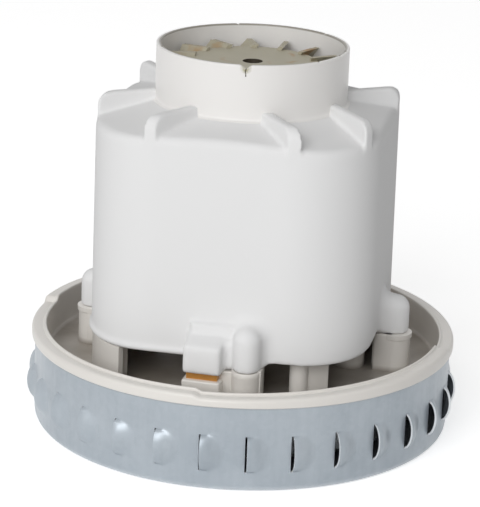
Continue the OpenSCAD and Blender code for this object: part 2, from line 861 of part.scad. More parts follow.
module stator_bolts() {
    head_h = 1.6;
    head_r = bolt_r + 1.2;
    bottom = stack_z - insulator_t - bolt_bite;
    color("#8d9296")
        for (x = [-1, 1])
            translate([x * bolt_x, 0, 0]) {
                translate([0, 0, bottom]) cylinder(r = bolt_r, h = bridge_top - bottom + head_h / 2);
                translate([0, 0, bridge_top]) cylinder(r = head_r, h = head_h);
            }
}

module bearing_retainer() {
    color("#9aa0a5")
        difference() {
            union() {
                translate([0, 0, low_bearing_top]) cylinder(r = hub_r, h = retainer_t);
                for (x = [-1, 1])
                    translate([x * retainer_screw_x, 0, low_bearing_top])
                        cylinder(r = seat_wall, h = retainer_t);
            }
            translate([0, 0, low_bearing_top - past])
                cylinder(r = outer_land_r + clear, h = retainer_t + 2 * past);
            for (x = [-1, 1])
                translate([x * retainer_screw_x, 0, low_bearing_top - past])
                    cylinder(r = retainer_screw_r + clear, h = retainer_t + 2 * past);
        }
}

module retainer_screws() {
    head_h = 1.4;
    head_r = retainer_screw_r + 1.2;
    color("#8d9296")
        for (x = [-1, 1])
            translate([x * retainer_screw_x, 0, 0]) {
                translate([0, 0, floor_top])
                    cylinder(r = retainer_screw_r, h = retainer_top - floor_top + head_h / 2);
                translate([0, 0, retainer_top])
                    cylinder(r = head_r, h = head_h);
            }
}

module outer_ring(z) {
    color("#b7bcc0")
        rotate_extrude()
            difference() {
                translate([outer_land_r, z]) square([bearing_outer_r - outer_land_r, bearing_w]);
                translate([race_r, z + bearing_w / 2]) circle(ball_r + ball_play);
            }
}

module inner_ring(z) {
    color("#b7bcc0")
        rotate_extrude()
            difference() {
                translate([bearing_bore_r, z]) square([inner_land_r - bearing_bore_r, bearing_w]);
                translate([race_r, z + bearing_w / 2]) circle(ball_r + ball_play);
            }
}

module lower_bearing_outer_ring() {
    outer_ring(floor_top);
}

module upper_bearing_outer_ring() {
    outer_ring(high_bearing_z);
}

module lower_bearing_inner_ring() {
    inner_ring(floor_top);
}

module upper_bearing_inner_ring() {
    inner_ring(high_bearing_z);
}

// The two thin shields that close a bearing
module shields(z) {
    shield_t = 0.3;
    color("#c4c8cb")
        for (at = [shield_t, bearing_w - 2 * shield_t])
            ring(inner_land_r + clear, outer_land_r - fit, z + at, shield_t);
}

module lower_bearing_shields() {
    shields(floor_top);
}

module upper_bearing_shields() {
    shields(high_bearing_z);
}

// One copy at each ball's place
module each_ball(z) {
    for (i = [0 : ball_count - 1])
        turned(360 * i / ball_count)
            translate([0, -race_r, z + bearing_w / 2]) children();
}

module balls(z) {
    color("#d9dcde")
        each_ball(z) sphere(ball_r);
}

// Cage ring with a pocket for each ball
module cage(z) {
    bridge = 0.45;
    half_h = ball_r + ball_play + bridge;
    half_t = 0.5;
    color("#7a6a4a")
        difference() {
            ring(race_r - half_t, race_r + half_t, z + bearing_w / 2 - half_h, 2 * half_h);
            each_ball(z)
                rotate([90, 0, 0]) cylinder(r = ball_r + ball_play, h = 4 * half_t, center = true);
        }
}

module lower_bearing_balls() {
    balls(floor_top);
}

module upper_bearing_balls() {
    balls(high_bearing_z);
}

module lower_bearing_cage() {
    cage(floor_top);
}

module upper_bearing_cage() {
    cage(high_bearing_z);
}

module brush_tube() {
    color("#a8702a")
        difference() {
            radial_box(tube_w, tube_in, tube_out, tube_z, tube_top);
            radial_box(brush_w + 2 * brush_play, tube_in - past, tube_out + past,
                tube_z + tube_t, tube_top - tube_t);
        }
}

// Cap with a plug that closes the outer end of a brush tube
module brush_cap() {
    plug_z = brush_z - brush_h / 2;
    color("#c08a45") {
        radial_box(tube_w, tube_out, tube_out + cap_t, tube_z, tube_top);
        radial_box(brush_w, spring_out, tube_out, plug_z, plug_z + brush_h);
    }
}

// Coil spring between the brush and the cap
module brush_spring() {
    from = brush_out + spring_wire_r + fit;
    to = spring_out - spring_wire_r - fit;
    steps = corner_steps * spring_turns;
    path = [for (i = [0 : steps])
        let (a = 360 * i * spring_turns / steps)
        [spring_r * cos(a), -(from + (to - from) * i / steps), brush_z + spring_r * sin(a)]];
    color("#c9ccce") swept_tube(path, spring_wire_r, [0, 1, 0], 6);
}

// Carbon brush with its end hollowed to the commutator
module carbon_brush() {
    low = brush_z - brush_h / 2;
    color("#3a3a3c")
        difference() {
            radial_box(brush_w, brush_in - past, brush_out, low, low + brush_h);
            translate([0, 0, low - past]) cylinder(r = brush_in, h = brush_h + 2 * past);
        }
}

module front_brush_tube() {
    turned(brush_turn) brush_tube();
}

module rear_brush_tube() {
    turned(brush_turn + 180) brush_tube();
}

module front_brush_cap() {
    turned(brush_turn) brush_cap();
}

module rear_brush_cap() {
    turned(brush_turn + 180) brush_cap();
}

module front_brush_spring() {
    turned(brush_turn) brush_spring();
}

module rear_brush_spring() {
    turned(brush_turn + 180) brush_spring();
}

module front_brush() {
    turned(brush_turn) carbon_brush();
}

module rear_brush() {
    turned(brush_turn + 180) carbon_brush();
}

// Stiff wires from the field coils down to the brush tubes
module coil_links() {
    color("#b8733a")
        each_brush()
            translate([0, -coil_y - coil_t / 2, tube_top])
                cylinder(r = lead_r, h = stack_z - winding_end_h - tube_top);
}

module mains_terminals() {
    color("#c9a860")
        turned(tab_turn)
            for (x = [-1, 1])
                translate([x * tab_pitch / 2, 0, 0])
                    radial_box(tab_w, tab_in, tab_out, tab_z, tab_z + tab_t);
}

// Insulated leads from the mains tabs to the free ends of the field coils
module mains_leads() {
    coil_low = stack_z - winding_end_h;
    coil_mid = coil_y + coil_t / 2;
    start_z = tab_z + tab_t;
    start_in = tab_in + 2 * lead_r;
    rise = 5;
    post_gap = 0.8;
    side_x = bolt_x - stator_post_r - lead_r - post_gap;
    side_y = 2 * stator_post_r;
    side_z = coil_low - rise;
    end_x = neck_half + coil_side / 3;
    along = start_in * [sin(tab_turn), -cos(tab_turn)];
    across = tab_pitch / 2 * [cos(tab_turn), sin(tab_turn)];
    rear = along + across;
    front = along - across;
    rear_route = [
        [rear[0], rear[1], start_z], [rear[0], rear[1], start_z + rise],
        [end_x, coil_mid, side_z], [end_x, coil_mid, coil_low]];
    front_route = [
        [front[0], front[1], start_z], [front[0], front[1], start_z + rise],
        [side_x, side_y, side_z], [side_x, -side_y, side_z],
        [end_x, -coil_mid, side_z], [end_x, -coil_mid, coil_low]];
    color("#4a4a4c") {
        swept_tube(rear_route, lead_r, [1, 0.3, 0.2], corner_steps);
        swept_tube(front_route, lead_r, [1, 0.3, 0.2], corner_steps);
    }
}

module rotor_shaft() {
    nut_proud = 0.4;
    low = rear_z - clamp_h - washer_t - nut_h - nut_proud;
    slot_w = 1;
    slot_depth = 1.4;
    color("#b9bec2")
        difference() {
            rotate_extrude()
                polygon([[0, low], [bearing_bore_r - fit, low], [bearing_bore_r - fit, low_bearing_top],
                    [shaft_core_r, low_bearing_top], [shaft_core_r, high_bearing_z],
                    [bearing_bore_r - fit, high_bearing_z], [bearing_bore_r - fit, lid_top],
                    [shaft_tip_r, lid_top], [shaft_tip_r, tip_z], [0, tip_z]]);
            translate([-slot_w / 2, -2 * shaft_tip_r, tip_z - slot_depth])
                cube([slot_w, 4 * shaft_tip_r, slot_depth + past]);
        }
}

// Round slot with a narrow mouth, at each armature slot's place
module armature_slots(play) {
    tooth_tip = 2;
    slot_at = armature_r - slot_r - tooth_tip;
    for (i = [0 : slot_count - 1])
        rotate(360 * i / slot_count) {
            translate([0, -slot_at]) circle(slot_r - play);
            if (play == 0)
                translate([-slot_mouth / 2, -armature_r - past])
                    square([slot_mouth, armature_r - slot_at + past]);
        }
}

module armature_core() {
    color("#6a6f74")
        translate([0, 0, stack_z])
            linear_extrude(stack_h)
                difference() {
                    circle(armature_r);
                    circle(shaft_core_r + fit);
                    armature_slots(0);
                }
}

// Copper in the slots, with the round end turns above and below
module armature_winding() {
    inset = 1.5;
    end_r = armature_r - inset;
    turn_in = shaft_core_r + inset;
    bend = 2;
    color("#b06a35") {
        translate([0, 0, stack_z - past])
            linear_extrude(stack_h + 2 * past)
                armature_slots(clear / 2);
        for (z = [winding_z, stack_top])
            rotate_extrude()
                polygon(concat(
                    [[turn_in, z], [end_r - bend, z]],
                    arc([end_r - bend, z + bend], bend, 270, 360),
                    arc([end_r - bend, z + winding_end_h - bend], bend, 0, 90),
                    [[turn_in, z + winding_end_h]]));
    }
}

module commutator_hub() {
    color("#4b3a2c") ring(shaft_core_r + fit, comm_r - bar_t - fit, comm_z, comm_len + riser_h);
}

// Copper bars side by side, each with a riser for the winding
module commutator_bars() {
    step = 360 / comm_bars;
    in_r = comm_r - bar_t;
    color("#c07a3c")
        for (i = [0 : comm_bars - 1])
            rotate([0, 0, i * step])
                rotate_extrude(angle = step - bar_slit)
                    polygon([[in_r, comm_z], [comm_r, comm_z], [comm_r, riser_z],
                        [comm_r + riser_out, riser_z], [comm_r + riser_out, comm_top], [in_r, comm_top]]);
}

module impeller_rear_disc() {
    color("#c8ccd0") ring(bearing_bore_r, impeller_r, rear_z, vane_t);
}

module impeller_front_disc() {
    color("#c8ccd0")
        rotate_extrude()
            polygon([[impeller_eye_r, shroud_z], [impeller_r, shroud_at(impeller_r)],
                [impeller_r, shroud_at(impeller_r) + vane_t], [impeller_eye_r, shroud_z + vane_t]]);
}

// Backward-curved blades between the two discs
module impeller_blades() {
    tip_inset = 0.5;
    color("#bcc1c6")
        intersection() {
            rotate_extrude()
                polygon([[blade_in_r - past, shroud_at(blade_in_r - past) + vane_t],
                    [impeller_r, shroud_at(impeller_r) + vane_t],
                    [impeller_r, rear_z], [blade_in_r - past, rear_z]]);
            linear_extrude(rear_top)
                for (i = [0 : blade_count - 1])
                    rotate(360 * i / blade_count)
                        intersection() {
                            translate([blade_centre, 0])
                                difference() {
                                    circle(blade_bend_r + vane_t / 2);
                                    circle(blade_bend_r - vane_t / 2);
                                }
                            difference() {
                                circle(impeller_r - tip_inset);
                                circle(blade_in_r);
                            }
                            translate([-can_r, -2 * can_r]) square([2 * can_r, 2 * can_r]);
                        }
        }
}

module impeller_spacer() {
    color("#9ea4a9") ring(bearing_bore_r, inner_land_r, rear_top, floor_top - rear_top);
}

module impeller_clamp() {
    color("#9ea4a9") ring(bearing_bore_r, clamp_r, rear_z - clamp_h, clamp_h);
}

module impeller_washer() {
    washer_r = nut_flats / 2 + washer_t;
    color("#b4b8bb") ring(bearing_bore_r, washer_r, rear_z - clamp_h - washer_t, washer_t);
}

module impeller_nut() {
    color("#a8a079")
        translate([0, 0, rear_z - clamp_h - washer_t - nut_h])
            difference() {
                cylinder(r = nut_flats / 2 / cos(30), h = nut_h, $fn = 6);
                translate([0, 0, -past]) cylinder(r = bearing_bore_r, h = nut_h + 2 * past);
            }
}

// Wheel that draws cooling air in through the collar: hub, top disc and tilted blades
module cooling_fan() {
    root_r = cooler_hub_r - past / 2;
    chord = 2 * cooler_h;
    mid_z = cooler_z + cooler_h / 2;
    disc_step = 2;
    color("#cfc8b8")
        difference() {
            union() {
                translate([0, 0, cooler_z]) cylinder(r = cooler_hub_r, h = cooler_h);
                translate([0, 0, cooler_top - cooler_disc_t])
                    cylinder(r = cooler_disc_r, h = cooler_disc_t);
                intersection() {
                    ring(root_r, cooler_r, cooler_z, cooler_h + cooler_crest);
                    for (i = [0 : cooler_blades - 1])
                        turned(360 * i / cooler_blades)
                            translate([0, 0, mid_z])
                                rotate([0, cooler_tilt, 0])
                                    translate([-chord / 2, -2 * cooler_r, -cooler_blade_t / 2])
                                        cube([chord, 2 * cooler_r, cooler_blade_t]);
                }
            }
            translate([0, 0, cooler_z - past]) cylinder(r = shaft_tip_r + fit, h = cooler_h + 2 * past);
            translate([0, 0, cooler_top])
                cylinder(r = cooler_disc_r - disc_step, h = cooler_crest + past);
        }
}

fan_can();
base_housing();
motor_cover();
cover_screws();
stator_core();
field_coil_front();
field_coil_rear();
upper_insulator();
lower_insulator();
bearing_bridge();
stator_bolts();
bearing_retainer();
retainer_screws();
lower_bearing_outer_ring();
upper_bearing_outer_ring();
lower_bearing_shields();
upper_bearing_shields();
front_brush_tube();
rear_brush_tube();
front_brush_cap();
rear_brush_cap();
front_brush_spring();
rear_brush_spring();
front_brush();
rear_brush();
coil_links();
mains_terminals();
mains_leads();
lower_bearing_balls();
upper_bearing_balls();
lower_bearing_cage();
upper_bearing_cage();
rotor_shaft();
armature_core();
armature_winding();
commutator_hub();
commutator_bars();
lower_bearing_inner_ring();
upper_bearing_inner_ring();
impeller_rear_disc();
impeller_front_disc();
impeller_blades();
impeller_spacer();
impeller_clamp();
impeller_washer();
impeller_nut();
cooling_fan();
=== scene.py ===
# %% [markdown]
# # The motor unit of a wet and dry vacuum cleaner
# A white moulded hood with a round collar stands on a cream dish, and the dish closes a can of galvanised sheet.
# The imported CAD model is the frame: it fixes every size and every moving body. This lesson dresses it. The inner
# pieces keep their CAD meshes and get finishes. The outer pieces and the brush springs are modelled again.

# %% Load the frame
import json
import math
import bmesh
import bpy
from mathutils import Matrix, Vector


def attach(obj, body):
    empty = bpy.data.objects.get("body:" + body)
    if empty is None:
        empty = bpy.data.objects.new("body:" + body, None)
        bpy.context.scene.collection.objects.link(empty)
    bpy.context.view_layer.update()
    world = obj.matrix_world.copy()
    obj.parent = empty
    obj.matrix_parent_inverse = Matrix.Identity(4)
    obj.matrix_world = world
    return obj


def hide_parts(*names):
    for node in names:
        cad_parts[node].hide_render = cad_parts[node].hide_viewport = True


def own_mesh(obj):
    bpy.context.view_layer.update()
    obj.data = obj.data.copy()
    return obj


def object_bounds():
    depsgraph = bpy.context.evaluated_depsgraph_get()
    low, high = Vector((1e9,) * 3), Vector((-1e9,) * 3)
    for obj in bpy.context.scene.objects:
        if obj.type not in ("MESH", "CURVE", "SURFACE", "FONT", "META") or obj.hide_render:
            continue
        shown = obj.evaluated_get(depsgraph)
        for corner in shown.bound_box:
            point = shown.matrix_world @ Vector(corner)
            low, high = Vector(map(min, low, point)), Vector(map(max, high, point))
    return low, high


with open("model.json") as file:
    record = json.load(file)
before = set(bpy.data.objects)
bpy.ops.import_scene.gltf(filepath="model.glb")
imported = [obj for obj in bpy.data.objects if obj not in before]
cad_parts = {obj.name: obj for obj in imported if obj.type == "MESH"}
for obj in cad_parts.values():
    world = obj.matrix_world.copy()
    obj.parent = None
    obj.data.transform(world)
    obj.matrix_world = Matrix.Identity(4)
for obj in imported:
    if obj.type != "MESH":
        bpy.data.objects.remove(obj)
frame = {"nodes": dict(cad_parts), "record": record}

cad_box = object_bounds()
MM = 0.001
print("CAD box in mm:", [[round(v / MM, 1) for v in corner] for corner in cad_box])

# %% [markdown]
# ## Camera
# The photograph was taken from a little right of the front and about 18 degrees above the table, with a long lens.
# The circles of the can, the rim and the collar fix such a camera: a circle of known size shows how far the lens
# was away, and its flattening shows the height. The numbers below come from that fit.

# %% Camera
PHOTO_SIZE = (480, 507)
FOCAL_PX = 2403.7
SENSOR_MM = 36
camera_data = bpy.data.cameras.new("photo_camera")
camera_data.sensor_width = SENSOR_MM
camera_data.lens = SENSOR_MM * FOCAL_PX / max(PHOTO_SIZE)
camera = bpy.data.objects.new("photo_camera", camera_data)
bpy.context.scene.collection.objects.link(camera)
to_right = Vector((0.978428, 0.203744, 0.034159))
to_top = Vector((-0.093727, 0.290443, 0.952291))
camera_turn = Matrix((to_right, to_top, to_right.cross(to_top))).transposed().to_4x4()
camera.matrix_world = Matrix.Translation((0.135912, -0.699206, 0.279299)) @ camera_turn
bpy.context.scene.camera = camera
print("camera lens in mm:", round(camera_data.lens, 1))

# %% [markdown]
# ## Nodes for the finishes
# Every finish is a small node tree. Colours are written as sRGB hex values and turned to the linear values that the
# shader needs. One function adds any node with its settings. A pattern's scale is worked out from a size in
# millimetres: Object coordinates are in metres, so one pattern unit of s millimetres has a scale of 1000 / s.

# %% Colour and node helpers
def linear(code):
    """An sRGB hex colour as linear red, green, blue and alpha."""
    parts = [int(code[i:i + 2], 16) / 255 for i in (1, 3, 5)]
    return tuple(p / 12.92 if p <= 0.04045 else ((p + 0.055) / 1.055) ** 2.4 for p in parts) + (1,)


def add(tree, kind, inputs=None, **settings):
    """Adds one node; an input is a value, a hex colour or the output socket of another node."""
    node = tree.nodes.new("ShaderNode" + kind)
    for name, value in settings.items():
        setattr(node, name, value)
    for name, value in (inputs or {}).items():
        if isinstance(value, bpy.types.NodeSocket):
            tree.links.new(value, node.inputs[name])
        else:
            node.inputs[name].default_value = linear(value) if isinstance(value, str) else value
    return node


def start_finish(name, **sockets):
    """A new material with its tree, its shader and its Object coordinates; sockets are set on the shader."""
    material = bpy.data.materials.new(name)
    material.use_nodes = True
    tree = material.node_tree
    shader = tree.nodes["Principled BSDF"]
    for socket, value in sockets.items():
        shader.inputs[socket.replace("_", " ")].default_value = value
    place = add(tree, "TexCoord").outputs["Object"]
    return material, tree, shader, place


def per_mm(size):
    """The texture scale at which one pattern unit measures that many millimetres."""
    return 1 / (size * MM)


# %% [markdown]
# ## A plain finish for the inner pieces
# Copper, brass, bearing steel and the like share one recipe: two close colours mixed by a soft noise, a roughness that
# wanders a little, and a fine bump for the grain of the surface. The grain size and the depth come from the real
# process: turned steel is finer than a moulding, and stacked laminations show as thin level lines.

# %% Plain finishes
def plain_finish(name, light, dark, metallic, rough, grain_mm, depth_mm, stretch=(1, 1, 1)):
    """Two colours, a wandering roughness and a fine bump; stretch turns the grain into lines."""
    material, tree, shader, place = start_finish(name, Metallic=metallic)
    turn = add(tree, "Mapping", {"Vector": place, "Scale": stretch}).outputs["Vector"]
    grain = add(tree, "TexNoise", {"Vector": turn, "Scale": per_mm(grain_mm), "Detail": 4}).outputs["Fac"]
    cloud = add(tree, "TexNoise", {"Vector": place, "Scale": per_mm(12), "Detail": 3}).outputs["Fac"]
    colour = add(tree, "Mix", {0: cloud, 6: light, 7: dark}, data_type="RGBA")
    tree.links.new(colour.outputs[2], shader.inputs["Base Color"])
    roughness = add(tree, "MapRange", {"Value": grain, "To Min": rough - 0.08, "To Max": rough + 0.1})
    tree.links.new(roughness.outputs["Result"], shader.inputs["Roughness"])
    bump = add(tree, "Bump", {"Height": grain, "Strength": 0.4, "Distance": depth_mm * MM})
    tree.links.new(bump.outputs["Normal"], shader.inputs["Normal"])
    return material


LEVEL_LINES = (0.05, 0.05, 1)
finishes = {
    "screw_steel": plain_finish("zinc_plated_steel", "#b9bcbd", "#8f9496", 1, 0.32, 0.6, 0.02),
    "lamination_steel": plain_finish("stacked_sheet_steel", "#6f7377", "#4d5155", 0.9, 0.5, 0.5, 0.15, LEVEL_LINES),
    "copper": plain_finish("enamelled_copper", "#b5672f", "#8a4a20", 0.9, 0.34, 0.5, 0.08, LEVEL_LINES),
    "insulation": plain_finish("moulded_polyamide", "#d6cdb6", "#c2b79d", 0, 0.5, 0.8, 0.02),
    "bridge_plastic": plain_finish("moulded_polyester", "#d3cfc6", "#bfbab0", 0, 0.45, 0.8, 0.02),
    "bearing_steel": plain_finish("ground_bearing_steel", "#d3d6d8", "#b4b8bb", 1, 0.16, 0.4, 0.005, LEVEL_LINES),
    "brush_brass": plain_finish("tarnished_brass", "#cf9a50", "#a5692e", 0.5, 0.42, 0.7, 0.03),
    "carbon": plain_finish("pressed_carbon", "#3a3a3d", "#252527", 0.1, 0.6, 0.4, 0.03),
    "lead_insulation": plain_finish("soft_lead_insulation", "#3b3b3d", "#29292b", 0, 0.55, 0.9, 0.02),
    "shaft_steel": plain_finish("turned_steel", "#c3c7ca", "#9a9fa3", 1, 0.28, 0.4, 0.01, LEVEL_LINES),
    "resin": plain_finish("moulded_resin", "#4d382a", "#38271c", 0, 0.45, 0.8, 0.02),
    "impeller_aluminium": plain_finish("pressed_aluminium", "#d7d9da", "#b6babd", 1, 0.34, 0.6, 0.01),
}
print("plain finishes:", len(finishes))

# %% [markdown]
# ## White moulded plastic
# Hood and dish are moulded from a stiff white thermoset. It is glossy enough for soft highlights on every rounded
# edge. Up close there is a faint orange-peel, a slow drift of the white towards cream, and grime where hands and air
# reach: specks on the hood, and in the dish a grey-brown that is partly dust of the carbon brushes and partly painted
# shade.

# %% White moulded plastic
def moulded_white(name, white, cream, gloss):
    """The clean moulding; returns the tree and the clean colour for what is laid over it."""
    material, tree, shader, place = start_finish(name, IOR=1.52)
    drift = add(tree, "TexNoise", {"Vector": place, "Scale": per_mm(45), "Detail": 2}).outputs["Fac"]
    clean = add(tree, "Mix", {0: drift, 6: white, 7: cream}, data_type="RGBA").outputs[2]
    peel = add(tree, "TexNoise", {"Vector": place, "Scale": per_mm(1.6), "Detail": 3}).outputs["Fac"]
    smear = add(tree, "TexNoise", {"Vector": place, "Scale": per_mm(9), "Detail": 4}).outputs["Fac"]
    roughness = add(tree, "MapRange", {"Value": smear, "To Min": gloss - 0.05, "To Max": gloss + 0.1})
    tree.links.new(roughness.outputs["Result"], shader.inputs["Roughness"])
    bump = add(tree, "Bump", {"Height": peel, "Strength": 0.25, "Distance": 0.02 * MM})
    tree.links.new(bump.outputs["Normal"], shader.inputs["Normal"])
    return material, tree, shader, place, clean


def specks(tree, place, spacing_mm, size_mm):
    """A mask of rare small specks: the middles of some cells of a loose grid."""
    cells = add(tree, "TexVoronoi", {"Vector": place, "Scale": per_mm(spacing_mm)})
    near = add(tree, "MapRange", {"Value": cells.outputs["Distance"], "From Min": size_mm / spacing_mm, "From Max": 0})
    pick = add(tree, "SeparateColor", {"Color": cells.outputs["Color"]}).outputs["Red"]
    rare = add(tree, "Math", {0: pick, 1: 0.72}, operation="GREATER_THAN")
    both = {0: near.outputs["Result"], 1: rare.outputs["Value"]}
    return add(tree, "Math", both, operation="MULTIPLY").outputs["Value"]


cover_white, tree, shader, place, clean = moulded_white("white_thermoset_moulding", "#eae8e6", "#e8e6e3", 0.3)
spotted = add(tree, "Mix", {0: specks(tree, place, 9, 0.35), 6: clean, 7: "#8d8880"}, data_type="RGBA")
tree.links.new(spotted.outputs[2], shader.inputs["Base Color"])
finishes["cover_plastic"] = cover_white
print("finish:", cover_white.name)

# %% [markdown]
# ## Fan wheel plastic
# The cooling fan was moulded in a pale beige that has gone grey and olive with dust. Some blades keep a brown stain
# where oil mist dried on them. A wide noise mixes dust and plastic, and a second one adds the stains.

# %% Fan wheel plastic
fan_beige, tree, shader, place = start_finish("dusty_beige_moulding", Roughness=0.5)
dust = add(tree, "TexNoise", {"Vector": place, "Scale": per_mm(14), "Detail": 5}).outputs["Fac"]
stain = add(tree, "TexNoise", {"Vector": place, "Scale": per_mm(11), "Detail": 3, "Distortion": 0.6}).outputs["Fac"]
greyed = add(tree, "Mix", {0: dust, 6: "#b9b39f", 7: "#9a947f"}, data_type="RGBA").outputs[2]
stained = add(tree, "MapRange", {"Value": stain, "From Min": 0.56, "From Max": 0.68, "To Max": 0.75})
browned = add(tree, "Mix", {0: stained.outputs["Result"], 6: greyed, 7: "#a0773f"}, data_type="RGBA").outputs[2]
tree.links.new(browned, shader.inputs["Base Color"])
bump = add(tree, "Bump", {"Height": dust, "Strength": 0.3, "Distance": 0.1 * MM})
tree.links.new(bump.outputs["Normal"], shader.inputs["Normal"])
finishes["fan_plastic"] = fan_beige
print("finish:", fan_beige.name)

# %% [markdown]
# ## The shaft's end
# The shaft ends a little below the top of the wheel's bore. Old grease and dust have filled the place, and the hole
# lies in shade, so the place is painted dark: partly grease, partly painted shade. It looks like a dark spot in the
# middle of the wheel. On the shaft the dark part is told by its height, and in the wheel's plastic by its distance
# from the axis.

# %% The shaft's end
GREASE_AND_SHADE, GREASE_AND_SHADE_Z, BORE_R = "#3d362b", 108, 3.1


def from_axis(tree, place):
    """How far a point lies out from the upright axis."""
    level = add(tree, "Mapping", {"Vector": place, "Scale": (1, 1, 0)}).outputs["Vector"]
    return add(tree, "VectorMath", {0: level}, operation="LENGTH").outputs["Value"]


tree = finishes["shaft_steel"].node_tree
shader = tree.nodes["Principled BSDF"]
steel = shader.inputs["Base Color"].links[0].from_socket
height = add(tree, "SeparateXYZ", {"Vector": add(tree, "TexCoord").outputs["Object"]}).outputs["Z"]
# above this height the shaft is painted dark: partly grease, partly painted shade of the deep hole
in_wheel = add(tree, "Math", {0: height, 1: GREASE_AND_SHADE_Z * MM}, operation="GREATER_THAN").outputs["Value"]
colour = add(tree, "Mix", {0: in_wheel, 6: steel, 7: GREASE_AND_SHADE}, data_type="RGBA").outputs[2]
tree.links.new(colour, shader.inputs["Base Color"])
bare = add(tree, "Math", {0: 1.0, 1: in_wheel}, operation="SUBTRACT").outputs["Value"]
tree.links.new(bare, shader.inputs["Metallic"])
tree = fan_beige.node_tree
shader = tree.nodes["Principled BSDF"]
out = from_axis(tree, add(tree, "TexCoord").outputs["Object"])
# inside the bore the wheel's plastic is painted dark: partly grease, partly painted shade of the hole
in_bore = add(tree, "Math", {0: out, 1: BORE_R * MM}, operation="LESS_THAN").outputs["Value"]
colour = add(tree, "Mix", {0: in_bore, 6: browned, 7: GREASE_AND_SHADE}, data_type="RGBA").outputs[2]
tree.links.new(colour, shader.inputs["Base Color"])
print("grease on the shaft and", fan_beige.name)

# %% [markdown]
# ## Cream plastic of the dish
# The dish is the same kind of moulding in a creamier white. Inside it, the floor and the lower wall are painted a
# grey-brown: partly carbon dust that the cooling air leaves there, partly painted shade of the deep space under the
# hood. The rim outside stays clean. The grey-brown is laid on by place: how far out from the axis and how high above
# the floor, broken up by a noise.

# %% Cream plastic of the dish
base_cream, tree, shader, place, clean = moulded_white("cream_thermoset_moulding", "#e7e4df", "#e1ddd7", 0.33)
height = add(tree, "SeparateXYZ", {"Vector": place}).outputs["Z"]
out = from_axis(tree, place)
patches = add(tree, "TexNoise", {"Vector": place, "Scale": per_mm(16), "Detail": 5}).outputs["Fac"]
inside = add(tree, "MapRange", {"Value": out, "From Min": 62.0 * MM, "From Max": 61.0 * MM}).outputs["Result"]
# floor and lower wall inside the dish turn grey-brown: partly carbon dust, partly painted shade under the hood
floor_dust_and_shade = add(tree, "MapRange", {"Value": height, "From Min": 21.6 * MM, "From Max": 20 * MM, "To Min": 0.06})
near_wall = add(tree, "MapRange", {"Value": out, "From Min": 56 * MM, "From Max": 60 * MM, "To Max": 0.6})
most = {0: floor_dust_and_shade.outputs["Result"], 1: near_wall.outputs["Result"]}
dust_and_shade = add(tree, "Math", most, operation="MAXIMUM").outputs["Value"]
dust_and_shade = add(tree, "Math", {0: dust_and_shade, 1: inside}, operation="MULTIPLY").outputs["Value"]
broken = add(tree, "MapRange", {"Value": patches, "From Min": 0.25, "From Max": 0.65, "To Min": 0.65}).outputs["Result"]
dust_and_shade = add(tree, "Math", {0: dust_and_shade, 1: broken}, operation="MULTIPLY").outputs["Value"]
# the grey-brown colour is partly dust and partly painted shade
dust_and_shade_colour = add(tree, "Mix", {0: dust_and_shade, 6: clean, 7: "#968e84"}, data_type="RGBA").outputs[2]
tree.links.new(dust_and_shade_colour, shader.inputs["Base Color"])
finishes["base_plastic"] = base_cream
print("finish:", base_cream.name)

# %% [markdown]
# ## Galvanised sheet
# The can is drawn from hot-dip galvanised steel. Zinc freezes in crystals a millimetre or two wide, so it shows
# faint patches of slightly different grey and gloss, and drawing it through the die leaves upright streaks. Voronoi
# cells give the crystals and a stretched noise the streaks. The foot of the can is worn paler. Where the sheet was cut,
# at the louvres, bare bright steel shows, so the cut edges have a finish of their own.

# %% Galvanised sheet
zinc, tree, shader, place = start_finish("hot_dip_galvanised_steel", Metallic=0.35)
height = add(tree, "SeparateXYZ", {"Vector": place}).outputs["Z"]
bent = add(tree, "TexNoise", {"Vector": place, "Scale": per_mm(5), "Detail": 2}).outputs["Color"]
wavy = add(tree, "VectorMath", {0: bent, 1: (2 * MM,) * 3, 2: place}, operation="MULTIPLY_ADD").outputs["Vector"]
crystals = add(tree, "TexVoronoi", {"Vector": wavy, "Scale": per_mm(1.4)}).outputs["Color"]
flake = add(tree, "SeparateColor", {"Color": crystals}).outputs["Red"]
upright = add(tree, "Mapping", {"Vector": place, "Scale": (1, 1, 0.12)}).outputs["Vector"]
streak = add(tree, "TexNoise", {"Vector": upright, "Scale": per_mm(2.2), "Detail": 4}).outputs["Fac"]
cloud = add(tree, "TexNoise", {"Vector": place, "Scale": per_mm(20), "Detail": 3}).outputs["Fac"]
mixed = add(tree, "Math", {0: flake, 1: 0.12, 2: cloud}, operation="MULTIPLY_ADD").outputs["Value"]
mixed = add(tree, "Math", {0: streak, 1: 0.4, 2: mixed}, operation="MULTIPLY_ADD").outputs["Value"]
tone = add(tree, "MapRange", {"Value": mixed, "From Min": 0.5, "From Max": 1.1}).outputs["Result"]
colour = add(tree, "Mix", {0: tone, 6: "#b0b8bf", 7: "#9da6ae"}, data_type="RGBA").outputs[2]
worn = add(tree, "MapRange", {"Value": height, "From Min": 2.2 * MM, "From Max": 0.6 * MM, "To Max": 0.7})
pale = add(tree, "Mix", {0: worn.outputs["Result"], 6: colour, 7: "#cdd3d8"}, data_type="RGBA").outputs[2]
tree.links.new(pale, shader.inputs["Base Color"])
roughness = add(tree, "MapRange", {"Value": mixed, "From Min": 0.5, "From Max": 1.1, "To Min": 0.3, "To Max": 0.42})
tree.links.new(roughness.outputs["Result"], shader.inputs["Roughness"])
bump = add(tree, "Bump", {"Height": streak, "Strength": 0.3, "Distance": 0.05 * MM})
tree.links.new(bump.outputs["Normal"], shader.inputs["Normal"])
finishes["galvanised_sheet"] = zinc
cut_edge = plain_finish("bare_cut_steel", "#f4f6f8", "#e4e8eb", 0.3, 0.3, 0.5, 0.01)
print("finish:", zinc.name, "and", cut_edge.name)

